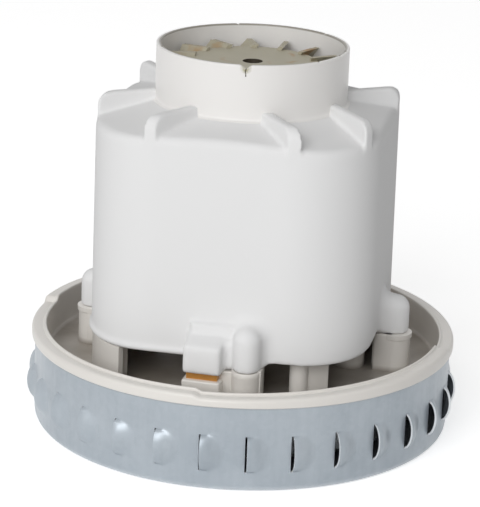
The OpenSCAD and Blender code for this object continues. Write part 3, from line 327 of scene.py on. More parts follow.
# %% [markdown]
# ## Mesh helpers
# Pieces are modelled in millimetres and scaled to metres at the very end, so that the numbers stay readable. A loft
# extrudes a ring of edges again and again and lays each new ring where a row function says. A box is the cube operator
# with two corners. And a shape that was made on the front flat is turned about the axis to the other flats.

# %% Mesh helpers
def edges_of(verts):
    """All edges at some vertices, each once and in a fixed order."""
    return list(dict.fromkeys(e for v in verts for e in v.link_edges))


def loft(bm, steps, rows):
    """Extrudes a ring of edges through rows; a row turns an angle in radians into a point."""
    around = bm.verts.layers.float.get("around") or bm.verts.layers.float.new("around")
    ring = bmesh.ops.create_circle(bm, segments=steps, radius=1)["verts"]
    for v in ring:
        v[around] = math.atan2(v.co.y, v.co.x)
    for number, row in enumerate(rows):
        if number:
            edges = [e for e in edges_of(ring) if all(w in marked for w in e.verts)]
            grown = bmesh.ops.extrude_edge_only(bm, edges=edges)["geom"]
            ring = [g for g in grown if isinstance(g, bmesh.types.BMVert)]
        marked = set(ring)
        for v in ring:
            v.co = row(v[around])


def box(bm, low, high):
    """A box between two corners; returns its vertices."""
    made = bmesh.ops.create_cube(bm, size=1)["verts"]
    bmesh.ops.scale(bm, vec=[h - l for l, h in zip(low, high)], verts=made)
    bmesh.ops.translate(bm, vec=[(l + h) / 2 for l, h in zip(low, high)], verts=made)
    return made


def round_edges(bm, edges, radius, segments=4):
    """Rounds edges with the bevel operator."""
    bmesh.ops.bevel(bm, geom=edges, offset=radius, offset_type="OFFSET", affect="EDGES", segments=segments,
                    profile=0.5, material=-1, clamp_overlap=True)


def turned(bm, turn, make):
    """Runs make, which models on the front flat, and turns what it made about the axis, counter-clockwise."""
    old = set(bm.verts)
    make(bm)
    new = [v for v in bm.verts if v not in old]
    bmesh.ops.rotate(bm, verts=new, cent=(0, 0, 0), matrix=Matrix.Rotation(math.radians(turn), 3, "Z"))


def to_object(bm, name):
    """Merges doubles, turns faces outwards, scales to metres and makes the object."""
    bmesh.ops.remove_doubles(bm, verts=bm.verts[:], dist=0.001)
    bmesh.ops.recalc_face_normals(bm, faces=bm.faces[:])
    bmesh.ops.scale(bm, vec=(MM, MM, MM), verts=bm.verts[:])
    mesh = bpy.data.meshes.new(name)
    bm.to_mesh(mesh)
    bm.free()
    mesh.shade_smooth()
    piece = bpy.data.objects.new(name, mesh)
    bpy.context.scene.collection.objects.link(piece)
    return piece


def apply_modifiers(piece):
    """The piece's mesh becomes what its modifiers make of it."""
    shown = piece.evaluated_get(bpy.context.evaluated_depsgraph_get())
    old, piece.data = piece.data, bpy.data.meshes.new_from_object(shown)
    piece.modifiers.clear()
    bpy.data.meshes.remove(old)


def dress(piece, slot, body, *nodes):
    """Gives the finish of a slot, lets the piece ride on its body and stand for CAD nodes."""
    if not piece.data.materials:
        piece.data.materials.append(finishes[slot])
    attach(piece, body)
    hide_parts(*nodes)
    print(piece.name, "faces:", len(piece.data.polygons))


# %% [markdown]
# ## The hood's skin
# The hood is a rounded square in plan. Its deck falls away from the collar as a shallow cone and turns into the walls
# over a soft shoulder. A cube with bevels would give the plan, but not the cone that meets it, so the hood is lofted:
# one ring of edges runs from the collar out over the deck, round the shoulder, down the wall, round the lip below and
# back up the inside. The lip hangs a little lower at the corners than on the flats, and it stands out where the low
# walls of the dish meet it.

# %% The hood's skin
HALF, CORNER, WALL = 43.4, 25, 2.2
STRAIGHT = HALF - CORNER
COLLAR_R, DECK_Z, SLOPE, DECK_T = 29.3, 102.36, 0.2, 2
SHOULDER, DRAFT = 2.5, 0.4
FOOT_R = COLLAR_R - 0.7
LIP_Z, LIP_DROP, LIP_BEAD = 33.2, 0.6, 0.8


def from_flat(turn):
    """Signed angle from the nearest flat's middle, in degrees."""
    return (turn + 45) % 90 - 45


def wall_at(turn, inset=0):
    """Distance from the axis to the hood's wall, in a direction in degrees."""
    b = abs(math.radians(from_flat(turn)))
    if (HALF - inset) * math.tan(b) <= STRAIGHT:
        return (HALF - inset) / math.cos(b)
    k = STRAIGHT * (math.sin(b) + math.cos(b))
    return k + math.sqrt(k * k - 2 * STRAIGHT ** 2 + (CORNER - inset) ** 2)


def deck_at(r):
    """Height of the deck at a distance from the axis."""
    return DECK_Z - SLOPE * (r - COLLAR_R)


def ease(value, start, end):
    """A soft step from 0 to 1."""
    t = min(1, max(0, (value - start) / (end - start)))
    return t * t * (3 - 2 * t)


def lip_at(turn):
    """Height of the hood's lower edge."""
    return LIP_Z - LIP_DROP * ease(abs(from_flat(turn)), 22, 42)


def bead_at(turn):
    """How far the lip stands out: only over the dish's low walls, in the front left and the rear right quarter."""
    return LIP_BEAD * ease(turn % 180, 0, 6) * (1 - ease(turn % 180, 80, 92))


def polar(row):
    """A row of the loft from a function that gives distance and height for a direction in degrees."""
    def place(angle):
        r, z = row(math.degrees(angle))
        return Vector((r * math.cos(angle), r * math.sin(angle), z))
    return place


def shoulder_row(tilt):
    """A row on the shoulder's arc, tilt degrees above level."""
    a = math.radians(tilt)

    def row(turn):
        middle = wall_at(turn, DRAFT) - SHOULDER
        z = deck_at(middle) - SHOULDER * math.hypot(1, SLOPE)
        return middle + SHOULDER * math.cos(a), z + SHOULDER * math.sin(a)
    return row


inner_top = lambda turn: deck_at(wall_at(turn, WALL)) - DECK_T
hood_rows = [
    lambda turn: (FOOT_R, deck_at(FOOT_R)),
    lambda turn: (34, deck_at(34)),
    *[shoulder_row(tilt) for tilt in (78.7, 63, 47, 31, 15, 0)],
    lambda turn: (wall_at(turn), lip_at(turn) + 2.1),
    lambda turn: (wall_at(turn, -bead_at(turn)), lip_at(turn) + 1.7),
    lambda turn: (wall_at(turn, -bead_at(turn)), lip_at(turn) + 0.6),
    lambda turn: (wall_at(turn, 0.3), lip_at(turn)),
    lambda turn: (wall_at(turn, WALL - 0.4), lip_at(turn)),
    lambda turn: (wall_at(turn, WALL), lip_at(turn) + 0.6),
    lambda turn: (wall_at(turn, WALL), inner_top(turn)),
    lambda turn: (FOOT_R, deck_at(FOOT_R) - DECK_T),
    lambda turn: (FOOT_R, deck_at(FOOT_R)),
]
hood = bmesh.new()
loft(hood, 240, [polar(row) for row in hood_rows])
print("hood rings:", len(hood_rows))

# %% [markdown]
# ## Ribs on the deck
# Eight ribs stiffen the collar, in two halves that repeat after half a turn. Each leaves the collar at a slant and ends
# flush with the wall, with a well rounded outer corner. A plate that is too long is laid in the rib's direction, its
# root is bent into the collar's wall, and the plane of the wall cuts its outer end.

# %% Ribs on the deck
RIB_T, RIB_TOP, RIB_CORNER = 3.5, DECK_Z + 3, 3.6
RIBS = [(26.8, 35.7), (55.4, 38), (114, 125.5), (153.5, 150.7)]


def wall_turn(turn):
    """Direction in which the wall faces, seen in a direction from the axis; both in degrees."""
    m = from_flat(turn)
    side, ahead = (wall_at(turn) * f(math.radians(abs(m))) - STRAIGHT for f in (math.sin, math.cos))
    return turn - m + (math.copysign(math.degrees(math.atan2(side, ahead)), m) if side > 0 else 0)


def to_side(turn):
    """Unit vector of a direction, in degrees from the front."""
    return Vector((math.sin(math.radians(turn)), -math.cos(math.radians(turn)), 0))


def rib_plate(bm, across, far):
    """A plate in front of the axis, moved across by some millimetres, with its root on the collar."""
    verts = box(bm, (across - RIB_T / 2, -far, deck_at(FOOT_R) - 1), (across + RIB_T / 2, -FOOT_R, RIB_TOP))
    for v in verts:
        if v.co.y > -FOOT_R - 0.1:
            v.co.y = -math.sqrt(FOOT_R ** 2 - v.co.x ** 2)


def add_rib(bm, turn, run):
    """One rib that ends on the wall at a turn and runs in another direction, cut flush with the wall and rounded."""
    reach, slant = wall_at(turn, DRAFT), math.radians(run - turn)
    old = set(bm.verts)
    turned(bm, run, lambda b: rib_plate(b, -reach * math.sin(slant), reach * math.cos(slant) + 6))
    verts = [v for v in bm.verts if v not in old]
    geom = verts + edges_of(verts) + list(dict.fromkeys(f for v in verts for f in v.link_faces))
    cut = bmesh.ops.bisect_plane(bm, geom=geom, dist=1e-4, plane_co=reach * to_side(turn),
                                 plane_no=to_side(wall_turn(turn)), clear_outer=True)["geom_cut"]
    end = bmesh.ops.contextual_create(bm, geom=[g for g in cut if isinstance(g, bmesh.types.BMEdge)])["faces"][0]
    for v in end.verts:
        if v.co.z < RIB_TOP - 1:
            v.co.z = deck_at(reach) - SHOULDER - 0.8
    round_edges(bm, [e for e in end.edges if all(v.co.z > RIB_TOP - 1 for v in e.verts)], RIB_CORNER, 7)


for half_turn in (0, 180):
    for turn, run in RIBS:
        add_rib(hood, turn + half_turn, run + half_turn)
print("ribs:", 2 * len(RIBS))

# %% [markdown]
# ## Screw bosses
# A boss with a domed top stands on each flat, and its flanks flow into the wall in a wide hollow curve. At the front
# and the back it stands beside the brush block, on the other two flats near the middle and further out. An arch is
# lofted outwards: wide where it leaves the wall, soon as narrow as the boss, and closing to the dome at the front. The
# lower half of each ring lies on the seam, which rises where the boss turns into the wall.

# %% Screw bosses
BOSS_R, SEAM_Z, FLARE = 4.2, 32, 3.9
FRONT_BOSS, FLANK_BOSS = (10.5, 3.2, 45), (1.6, 4.4, 43.7)
BOSSES = {0: FRONT_BOSS, 90: FLANK_BOSS, 180: FRONT_BOSS, 270: FLANK_BOSS}


def arch_row(boss, out, wide, tall):
    """A ring round a boss at a distance from the wall, with its half width and the height of its round top."""
    side, _, top = boss

    def place(angle):
        c, s = math.cos(angle), math.sin(angle)
        z = top - BOSS_R + tall * s if s > 0 else SEAM_Z + 1.3 * ease(abs(wide * c), BOSS_R + 0.2, BOSS_R + 1.6)
        return Vector((side + wide * c, -HALF - out, z))
    return place


def add_boss(bm, boss):
    """A boss on the front flat, from its sideways place, its distance outside the flat and its top."""
    far = boss[1]
    rows = [arch_row(boss, -1.6, BOSS_R + FLARE, BOSS_R + 0.72 * FLARE)]
    for part in (0, 0.08, 0.2, 0.35, 0.55, 0.8, 1):
        flare = FLARE * (1 - math.sqrt(1 - (1 - part) ** 2))
        rows.append(arch_row(boss, far * part, BOSS_R + flare, BOSS_R + 0.72 * flare))
    for tilt in (20, 38, 54, 68, 80, 88):
        r = BOSS_R * math.cos(math.radians(tilt))
        rows.append(arch_row(boss, far + BOSS_R * math.sin(math.radians(tilt)), r, r))
    loft(bm, 48, rows)


for turn, boss in BOSSES.items():
    turned(hood, turn, lambda b: add_boss(b, boss))
print("bosses:", len(BOSSES))

# %% [markdown]
# ## Brush blocks
# At the front and the back a block covers the outer end of a brush tube. Its lid slopes up to a pad on the wall, and a
# web joins it to the boss beside it. The block is a side profile of five points, extruded and rounded. All of it is
# added to the hood as closed shapes that overlap, because the next step makes one skin of them.

# %% Brush blocks
BRUSH_TURN, BLOCK_W, BLOCK_FACE = -2.5, 11.6, 51.6
BLOCK_Z, BLOCK_TOP, LID_RISE, SUNK = 30.5, 39, 2.2, 1.6
PAD_SIDE, PAD_OUT, PAD_Z, PAD_TOP = 7.2, 2, 34, 44.4
WEB_LEFT, WEB_RIGHT, WEB_OUT, WEB_Z, WEB_TOP = 2, 8, 4.2, 31.4, 40.5


def add_block(bm):
    """The block over a brush tube."""
    back, pad, lid = HALF - SUNK, HALF + PAD_OUT, BLOCK_TOP + LID_RISE
    profile = [(back, BLOCK_Z), (BLOCK_FACE, BLOCK_Z), (BLOCK_FACE, BLOCK_TOP), (pad, lid), (back, lid)]
    side = bmesh.ops.contextual_create(bm, geom=[bm.verts.new((-BLOCK_W / 2, -o, z)) for o, z in profile])["faces"]
    grown = bmesh.ops.extrude_face_region(bm, geom=side)["geom"]
    far = [g for g in grown if isinstance(g, bmesh.types.BMVert)]
    bmesh.ops.translate(bm, vec=(BLOCK_W, 0, 0), verts=far)
    edges = edges_of(far + list(side[0].verts))
    round_edges(bm, [e for e in edges if all(v.co.y < -pad + 0.1 for v in e.verts)], 1.3)


def add_pad(bm):
    """The pad behind the block and the web to the boss."""
    for low, high in (((-PAD_SIDE, -HALF - PAD_OUT, PAD_Z), (FRONT_BOSS[0], -HALF + SUNK, PAD_TOP)),
                      ((WEB_LEFT, -HALF - WEB_OUT, WEB_Z), (WEB_RIGHT, -HALF + SUNK, WEB_TOP))):
        edges = edges_of(box(bm, low, high))
        round_edges(bm, [e for e in edges if all(v.co.y < -HALF for v in e.verts)], 1.5)


for turn in (0, 180):
    turned(hood, turn + BRUSH_TURN, add_block)
    turned(hood, turn, add_pad)
open_edges = [e for e in hood.edges if e.is_boundary]
bmesh.ops.holes_fill(hood, edges=open_edges, sides=0)
print("closed ends:", len(open_edges), "edges")

# %% [markdown]
# ## One moulded skin
# A moulding has no sharp inner corner anywhere. A voxel remesh melts the overlapping shapes into one skin, a few
# rounds of smoothing turn each crease into a small fillet, and a decimation brings the count down where the skin is
# flat. The windows for the brush tubes are cut with a boolean before the smoothing, so that their edges get soft too.

# %% One moulded skin
ONE_SKIN_MM, MOST_TRIANGLES = 0.5, 180000
WINDOW_LOW, WINDOW_HIGH = (-4.9, -50.2, 20), (4.9, -39, 36.8)
cover_hood = to_object(hood, "cover_hood")
skin = cover_hood.modifiers.new("one_skin", "REMESH")
skin.mode = "VOXEL"
skin.voxel_size = ONE_SKIN_MM * MM
apply_modifiers(cover_hood)
windows = bmesh.new()
for turn in (0, 180):
    turned(windows, turn + BRUSH_TURN, lambda b: box(b, WINDOW_LOW, WINDOW_HIGH))
cutter = to_object(windows, "brush_windows")
opening = cover_hood.modifiers.new("windows", "BOOLEAN")
opening.object = cutter
opening.operation = "DIFFERENCE"
opening.solver = "MANIFOLD"
soft = cover_hood.modifiers.new("soft", "SMOOTH")
soft.factor = 0.5
soft.iterations = 10
apply_modifiers(cover_hood)
bpy.data.objects.remove(cutter)
triangles = sum(len(p.vertices) - 2 for p in cover_hood.data.polygons)
thin = cover_hood.modifiers.new("thin", "DECIMATE")
thin.ratio = min(1, MOST_TRIANGLES / triangles)
apply_modifiers(cover_hood)
cover_hood.data.shade_smooth()
dress(cover_hood, "cover_plastic", "housing", "motor_cover")

# %% [markdown]
# ## Worn plastic of the collar
# The collar's plastic is the hood's, with old dirt: a thin line along the inner edge of the top, an olive crust in a
# notch at the front and a hairline crack below it. They are placed by distance from the axis, height and distance from
# the notch.

# %% Worn plastic of the collar
COLLAR_IN, COLLAR_TOP = 27.9, 119.36
NICKS = [(7.4, 1.2, 2.0), (54, 0.35, 0.7), (76, 0.4, 0.6), (89, 0.45, 0.7), (201, 0.3, 0.6), (297, 0.4, 0.9),
         (140, 0.3, 0.8)]
worn_white, tree, shader, place, clean = moulded_white("worn_thermoset_moulding", "#eae8e6", "#e8e6e3", 0.3)
aside = add(tree, "Mapping", {"Vector": place, "Rotation": (0, 0, -math.radians(NICKS[0][0]))}).outputs["Vector"]
across = add(tree, "SeparateXYZ", {"Vector": aside})
height = across.outputs["Z"]
ragged = add(tree, "TexNoise", {"Vector": place, "Scale": per_mm(1.1), "Detail": 3}).outputs["Fac"]
out = from_axis(tree, place)
edge = {"From Min": (COLLAR_IN + 0.9) * MM, "From Max": (COLLAR_IN + 0.4) * MM}
inner = add(tree, "MapRange", {"Value": out, **edge}).outputs["Result"]
top = {"From Min": (COLLAR_TOP - 0.6) * MM, "From Max": (COLLAR_TOP - 0.2) * MM}
upper = add(tree, "MapRange", {"Value": height, **top}).outputs["Result"]
line = add(tree, "Math", {0: inner, 1: upper}, operation="MULTIPLY").outputs["Value"]
notch = (0, -COLLAR_R * MM, (COLLAR_TOP - 0.8) * MM)
away = add(tree, "VectorMath", {0: aside, 1: notch}, operation="DISTANCE").outputs["Value"]
near = add(tree, "MapRange", {"Value": away, "From Min": 1.9 * MM, "From Max": 0.7 * MM}).outputs["Result"]
crust = add(tree, "MapRange", {"Value": ragged, "From Min": 0.2, "From Max": 0.6}).outputs["Result"]
crust = add(tree, "Math", {0: near, 1: crust}, operation="MULTIPLY").outputs["Value"]
shaky = add(tree, "Math", {0: ragged, 1: 0.8 * MM, 2: across.outputs["X"]}, operation="MULTIPLY_ADD").outputs["Value"]
thin = add(tree, "Math", {0: shaky, 1: 0.4 * MM, 2: 0.16 * MM}, operation="COMPARE").outputs["Value"]
low = add(tree, "Math", {0: away, 1: 2.6 * MM}, operation="LESS_THAN").outputs["Value"]
crack = add(tree, "Math", {0: thin, 1: low}, operation="MULTIPLY").outputs["Value"]
soiled = add(tree, "Mix", {0: line, 6: clean, 7: "#8a857a"}, data_type="RGBA").outputs[2]
soiled = add(tree, "Mix", {0: crust, 6: soiled, 7: "#99936a"}, data_type="RGBA").outputs[2]
soiled = add(tree, "Mix", {0: crack, 6: soiled, 7: "#4a4436"}, data_type="RGBA").outputs[2]
tree.links.new(soiled, shader.inputs["Base Color"])
print("finish:", worn_white.name)

# %% [markdown]
# ## The collar
# The collar is a plain round wall, so one profile is spun about the axis. Long use has nicked its upper edge: a wide
# notch at the front and a few small chips. They are made by pushing the top vertices down, which keeps the wall's
# thickness in the broken place.

# %% The collar
EDGE_R, FILLET, NICK_REACH = 0.3, 0.9, 3


def arc(middle, r, start, end, steps):
    """Points of an arc, angles in degrees."""
    turns = [math.radians(start + (end - start) * i / steps) for i in range(steps + 1)]
    return [(middle[0] + r * math.cos(t), middle[1] + r * math.sin(t)) for t in turns]


def spun(bm, profile, steps):
    """Spins a closed profile of distance and height about the axis."""
    verts = [bm.verts.new((0, -r, z)) for r, z in profile]
    edges = [bm.edges.new((v, verts[i - 1])) for i, v in enumerate(verts)]
    bmesh.ops.spin(bm, geom=verts + edges, cent=(0, 0, 0), axis=(0, 0, 1), angle=math.tau, steps=steps, use_merge=True)


wall_levels = [DECK_Z + 4 + i for i in range(0, 12, 2)] + [COLLAR_TOP - h for h in (2.4, 1.8, 1.3, 0.9, 0.6)]
profile = arc((COLLAR_R + FILLET, DECK_Z + FILLET), FILLET, 270, 180, 5)
profile += [(COLLAR_R, z) for z in wall_levels]
profile += arc((COLLAR_R - EDGE_R, COLLAR_TOP - EDGE_R), EDGE_R, 0, 90, 3)
profile += arc((COLLAR_IN + EDGE_R, COLLAR_TOP - EDGE_R), EDGE_R, 90, 180, 3)
profile += [(COLLAR_IN, z) for z in wall_levels[::-1]]
profile += [(COLLAR_IN, DECK_Z - DECK_T - 0.2), (COLLAR_R + FILLET, DECK_Z - DECK_T)]
collar = bmesh.new()
spun(collar, profile, 720)
for v in collar.verts:
    for turn, depth, half in NICKS:
        off = math.radians((math.degrees(math.atan2(v.co.x, -v.co.y)) - turn + 180) % 360 - 180) * COLLAR_R
        if abs(off) < half and v.co.z > COLLAR_TOP - NICK_REACH:
            v.co.z -= depth * (1 - abs(off) / half) ** 1.4 * ease(v.co.z, COLLAR_TOP - NICK_REACH, COLLAR_TOP - 0.4)
cover_collar = to_object(collar, "cover_collar")
cover_collar.data.materials.append(worn_white)
dress(cover_collar, "cover_plastic", "housing", "motor_cover")

# %% [markdown]
# ## The dish
# Dish, rim and bearing seat share one profile, so they are spun together. Along its inner edge the rim has a bead and a
# groove. Four ramps run round the rim, each rising by one to two millimetres and ending in a short step. The spun rim
# is lifted by its direction to make them.

# %% The dish
RIM_R, DISH_R, BASE_R, CAN_H = 66, 61.37, 64.17, 26.5
FLOOR_Z, FLOOR_TOP, RIM_LOW = 17.4, 19.9, 29.1
RAMPS = [(-93, 1, 0.9, 3), (1, 85.5, 1.5, 1.6), (85.5, 173, 1.3, 1.6), (173, 267, 1.7, 1.6)]
BEAD_W, BEAD_H = 0.9, 0.5
HOLE_R, SEAT_R, HUB_R, HUB_TOP = 8.8, 11.03, 14.03, 26.9


def ramp_at(turn):
    """Lift of the rim in a direction in degrees, from the ramp that runs there and its short step down."""
    turn = (turn - RAMPS[0][0]) % 360 + RAMPS[0][0]
    start, end, rise, step = next(ramp for ramp in RAMPS if ramp[0] <= turn < ramp[1])
    return rise * (turn - start) / (end - start) * (1 - ease(turn, end - math.degrees(step / RIM_R), end))


profile = [(HOLE_R, FLOOR_Z), (40, FLOOR_Z), (BASE_R, FLOOR_Z), (BASE_R, CAN_H)]
profile += [(RIM_R - 0.3, CAN_H), (RIM_R, CAN_H + 0.3)]
profile += [(RIM_R, CAN_H + 1)] + arc((RIM_R - 1.1, RIM_LOW - 1.1), 1.1, 0, 90, 6)
groove = DISH_R + BEAD_W
profile += [(groove + 0.9, RIM_LOW), (groove + 0.35, RIM_LOW - 0.15), (groove, RIM_LOW + 0.1)]
profile += arc((DISH_R + BEAD_W / 2, RIM_LOW + BEAD_H - 0.35), BEAD_W / 2, 10, 170, 6)
profile += [(DISH_R, RIM_LOW - 0.6), (DISH_R, 24)] + arc((DISH_R - 1.2, FLOOR_TOP + 1.2), 1.2, 0, -90, 4)
profile += [(45, FLOOR_TOP), (15, FLOOR_TOP), (HUB_R, FLOOR_TOP + 0.8), (HUB_R, HUB_TOP), (SEAT_R, HUB_TOP)]
profile += [(SEAT_R, FLOOR_TOP), (HOLE_R, FLOOR_TOP)]
dish = bmesh.new()
spun(dish, profile, 720)
for v in dish.verts:
    if v.co.z > RIM_LOW - 1.2 and math.hypot(v.co.x, v.co.y) > DISH_R - 0.1:
        v.co.z += ramp_at(math.degrees(math.atan2(v.co.x, -v.co.y)))
print("rim ramps:", len(RAMPS))

# %% [markdown]
# ## Posts and low walls in the dish
# Below each boss of the hood a post carries a lip that frames the seam, with a flat strip beside it. From each side
# post a low wall runs round the next corner, under the hood's lip. They are simple closed shapes that sink into the
# floor, and the low wall is a small outline that is drawn out along the flat and then spun about the corner's middle.

# %% Posts and low walls in the dish
SKIRT_TURN, SKIRT_R, SKIRT_T = 62, CORNER - 0.4, 2


def column_row(x, y, r, z):
    """A level ring of a round column."""
    return lambda angle: Vector((x + r * math.cos(angle), y + r * math.sin(angle), z))


def add_column(bm, x, y, levels, steps=48):
    """A round column through levels of radius and height, closed at both ends."""
    levels = [(0.01, levels[0][1])] + levels + [(0.01, levels[-1][1])]
    loft(bm, steps, [column_row(x, y, r, z) for r, z in levels])


def soft_box(bm, low, high, radius):
    """A box with all its edges rounded."""
    round_edges(bm, edges_of(box(bm, low, high)), radius, 3)


def add_post(bm, boss, r, lip):
    """Screw post under a boss of the front flat: a round front with a lip, a flat body and a strip beside it."""
    side, out, _ = boss
    y, low, top = -HALF - out, FLOOR_TOP - 1, SEAM_Z - 0.15
    levels = [(r + 0.4, low), (r, low + 2), (r, top - 1.9)]
    add_column(bm, side, y, levels + [(r + lip, top - 1.6), (r + lip, top - 0.2), (r - 0.1, top)])
    soft_box(bm, (side - r, y, low), (side + r, -HALF + 1.5, top), 0.4)
    soft_box(bm, (side + r - 1, y - 1, low), (side + r + 0.3, -HALF + 1.5, top + 0.2), 0.3)


def add_skirt(bm):
    """Low wall from a side post along the flat and round the corner, under the hood's lip."""
    low, top, x = FLOOR_TOP - 1, SEAM_Z + 0.5, FLANK_BOSS[0]
    inside = SKIRT_R - SKIRT_T
    outline = ((inside, low), (SKIRT_R, low), (SKIRT_R, top - 0.4), (SKIRT_R - 0.4, top), (inside, top))
    ring = [bm.verts.new((x, -STRAIGHT - r, z)) for r, z in outline]
    first = [bm.edges.new((v, ring[i - 1])) for i, v in enumerate(ring)]
    grown = bmesh.ops.extrude_edge_only(bm, edges=first)["geom"]
    verts = [g for g in grown if isinstance(g, bmesh.types.BMVert)]
    edges = [e for e in edges_of(verts) if all(w in verts for w in e.verts)]
    bmesh.ops.translate(bm, vec=(STRAIGHT - x, 0, 0), verts=verts)
    last = bmesh.ops.spin(bm, geom=verts + edges, cent=(STRAIGHT, -STRAIGHT, 0), axis=(0, 0, 1),
                          angle=math.radians(SKIRT_TURN), steps=24)["geom_last"]
    for loop in (first, [g for g in last if isinstance(g, bmesh.types.BMEdge)]):
        bmesh.ops.contextual_create(bm, geom=loop)


for turn in (0, 180):
    turned(dish, turn, lambda b: add_post(b, FRONT_BOSS, 4.3, 0.05))
    turned(dish, turn + 90, lambda b: add_post(b, FLANK_BOSS, 4.9, 0.4))
    turned(dish, turn + 90, add_skirt)
print("posts:", len(BOSSES))

# %% [markdown]
# ## Pillars and ledges in the dish
# Inside, the dish carries the motor: a round pillar with a web under each corner of the stator, two columns for its
# bolts and two for the screws that hold the lower bearing. A ledge lies under each brush tube, a web under each web of
# the hood, and a box is the seat of the mains tabs.

# %% Pillars and ledges in the dish
STACK_Z, BOLT_X, BOLT_R, EAR_X, EAR_R = 51.6, 33.85, 5, 17, 3
PILLAR_TURN, PILLAR_R, PILLAR_AT, PILLAR_WEB = 34.5, 2.8, 43.1, 34
LEDGE_HALF, LEDGE_IN, LEDGE_TOP = 5.8, 14.7, 28.6
TAB_TURN, TAB_HALF, TAB_IN, TAB_OUT, TAB_TOP = 150, 9.6, 46.4, 52.4, 27.2


def add_ledge(bm):
    """Ledge under a brush tube."""
    soft_box(bm, (-LEDGE_HALF, -BLOCK_FACE, FLOOR_TOP - 1), (LEDGE_HALF, -LEDGE_IN, LEDGE_TOP), 0.6)


def add_web(bm):
    """Web under the one that joins block and boss."""
    soft_box(bm, (1, -HALF - 3.9, FLOOR_TOP - 1), (WEB_RIGHT, -HALF + 1.5, WEB_Z - 0.4), 0.4)


def add_pillar(bm):
    """Pillar and web under a corner of the stator."""
    add_column(bm, 0, -PILLAR_AT, [(PILLAR_R, FLOOR_TOP - 1), (PILLAR_R, STACK_Z - 1)], 32)
    soft_box(bm, (0, -PILLAR_AT - 1.3, FLOOR_TOP - 1), (PILLAR_R + 6.5, -PILLAR_AT + 1.3, PILLAR_WEB), 0.4)


def add_seat(bm):
    """Seat of the mains tabs."""
    soft_box(bm, (-TAB_HALF, -TAB_OUT, FLOOR_TOP - 1), (TAB_HALF, -TAB_IN, TAB_TOP), 0.6)


for turn in (0, 180):
    turned(dish, turn, add_web)
    turned(dish, turn + BRUSH_TURN, add_ledge)
for turn in (0, 90, 180, 270):
    turned(dish, turn + PILLAR_TURN, add_pillar)
for x in (-1, 1):
    add_column(dish, x * BOLT_X, 0, [(BOLT_R, FLOOR_TOP - 1), (BOLT_R, STACK_Z - 1)])
    add_column(dish, x * EAR_X, 0, [(EAR_R, FLOOR_TOP - 1), (EAR_R, HUB_TOP)])
turned(dish, TAB_TURN, add_seat)
base_dish = to_object(dish, "base_dish")
base_dish.data.set_sharp_from_angle(angle=math.radians(40))
dress(base_dish, "base_plastic", "housing", "base_housing")

# %% [markdown]
# ## The louvred can
# The can is drawn sheet with thirty louvres pressed outwards, each cut open along one side. Only one of them has to be
# modelled: the open profile of the can is spun through twelve degrees, a column of faces is taken out for the slit, the
# sheet beside it is pushed out to half a dome, and the sector is repeated thirty times. A Solidify modifier gives the
# sheet its thickness and the cut edges their own finish.

# %% The louvred can
CAN_R, SHEET_T, BEND_R, EYE_R, EYE_LIP, TOP_GAP = 65, 0.55, 2.5, 20, 4, 0.3
LOUVRES, LOUVRE_TURN, DOME_W, DOME_RISE = 30, 1.2, 7.4, 2.5
SLIT_MID, SLIT_HALF, SLIT_W = 11.9, 5.6, 0.6
SECTOR = 360 / LOUVRES


def along(co):
    """Length along the can's wall from the middle of the sector."""
    return math.atan2(co.x, -co.y) * CAN_R


def beside_slit(co, start, end):
    """Whether a point lies at the slit's height and between two lengths along the wall."""
    return start < along(co) < end and abs(co.z - SLIT_MID) < SLIT_HALF


lip_bend = BEND_R / 2 + SHEET_T
slit_rows = [SLIT_MID + SLIT_HALF * i / 12 for i in range(-12, 13)]
profile = [(EYE_R, EYE_LIP)] + arc((EYE_R + lip_bend, lip_bend), lip_bend, 180, 270, 6) + [(40, 0), (55, 0)]
profile += arc((CAN_R - BEND_R, BEND_R), BEND_R, 270, 360, 6) + [(CAN_R, 4), (CAN_R, 5.4)]
profile += [(CAN_R, z) for z in slit_rows] + [(CAN_R, z) for z in (18.4, 20, 22.5, 25, CAN_H - TOP_GAP)]
can = bmesh.new()
verts = [can.verts.new(to_side(-SECTOR / 2) * r + Vector((0, 0, z))) for r, z in profile]
edges = [can.edges.new(pair) for pair in zip(verts, verts[1:])]
bmesh.ops.spin(can, geom=verts + edges, cent=(0, 0, 0), axis=(0, 0, 1), angle=math.radians(SECTOR), steps=24)
slit = [face for face in can.faces if beside_slit(face.calc_center_median(), -SLIT_W, 0)]
bmesh.ops.delete(can, geom=slit, context="FACES")
for v in can.verts:
    if beside_slit(v.co, -0.01, math.inf):
        high = 1 - ((v.co.z - SLIT_MID) / SLIT_HALF) ** 2
        fade = 1 - ease(along(v.co), 0, DOME_W * (0.35 + 0.65 * high ** 0.5))
        v.co += to_side(math.degrees(along(v.co) / CAN_R)) * DOME_RISE * high ** 0.6 * fade
bmesh.ops.spin(can, geom=can.verts[:] + can.edges[:] + can.faces[:], cent=(0, 0, 0), axis=(0, 0, 1),
               angle=math.tau * (LOUVRES - 1) / LOUVRES, steps=LOUVRES - 1, use_duplicate=True)
bmesh.ops.rotate(can, verts=can.verts[:], cent=(0, 0, 0), matrix=Matrix.Rotation(math.radians(LOUVRE_TURN), 3, "Z"))
louvred_can = to_object(can, "louvred_can")
outwards = max(louvred_can.data.polygons, key=lambda p: p.center.z)
if outwards.normal.dot((outwards.center.x, outwards.center.y, 0)) < 0:
    louvred_can.data.flip_normals()
sheet = louvred_can.modifiers.new("sheet", "SOLIDIFY")
sheet.thickness = SHEET_T * MM
sheet.offset = -1
sheet.use_even_offset = True
sheet.material_offset_rim = 1
louvred_can.data.materials.append(zinc)
louvred_can.data.materials.append(cut_edge)
apply_modifiers(louvred_can)
print("cut edge faces:", sum(face.material_index == 1 for face in louvred_can.data.polygons))
louvred_can.data.set_sharp_from_angle(angle=math.radians(40))
dress(louvred_can, "galvanised_sheet", "housing", "fan_can")

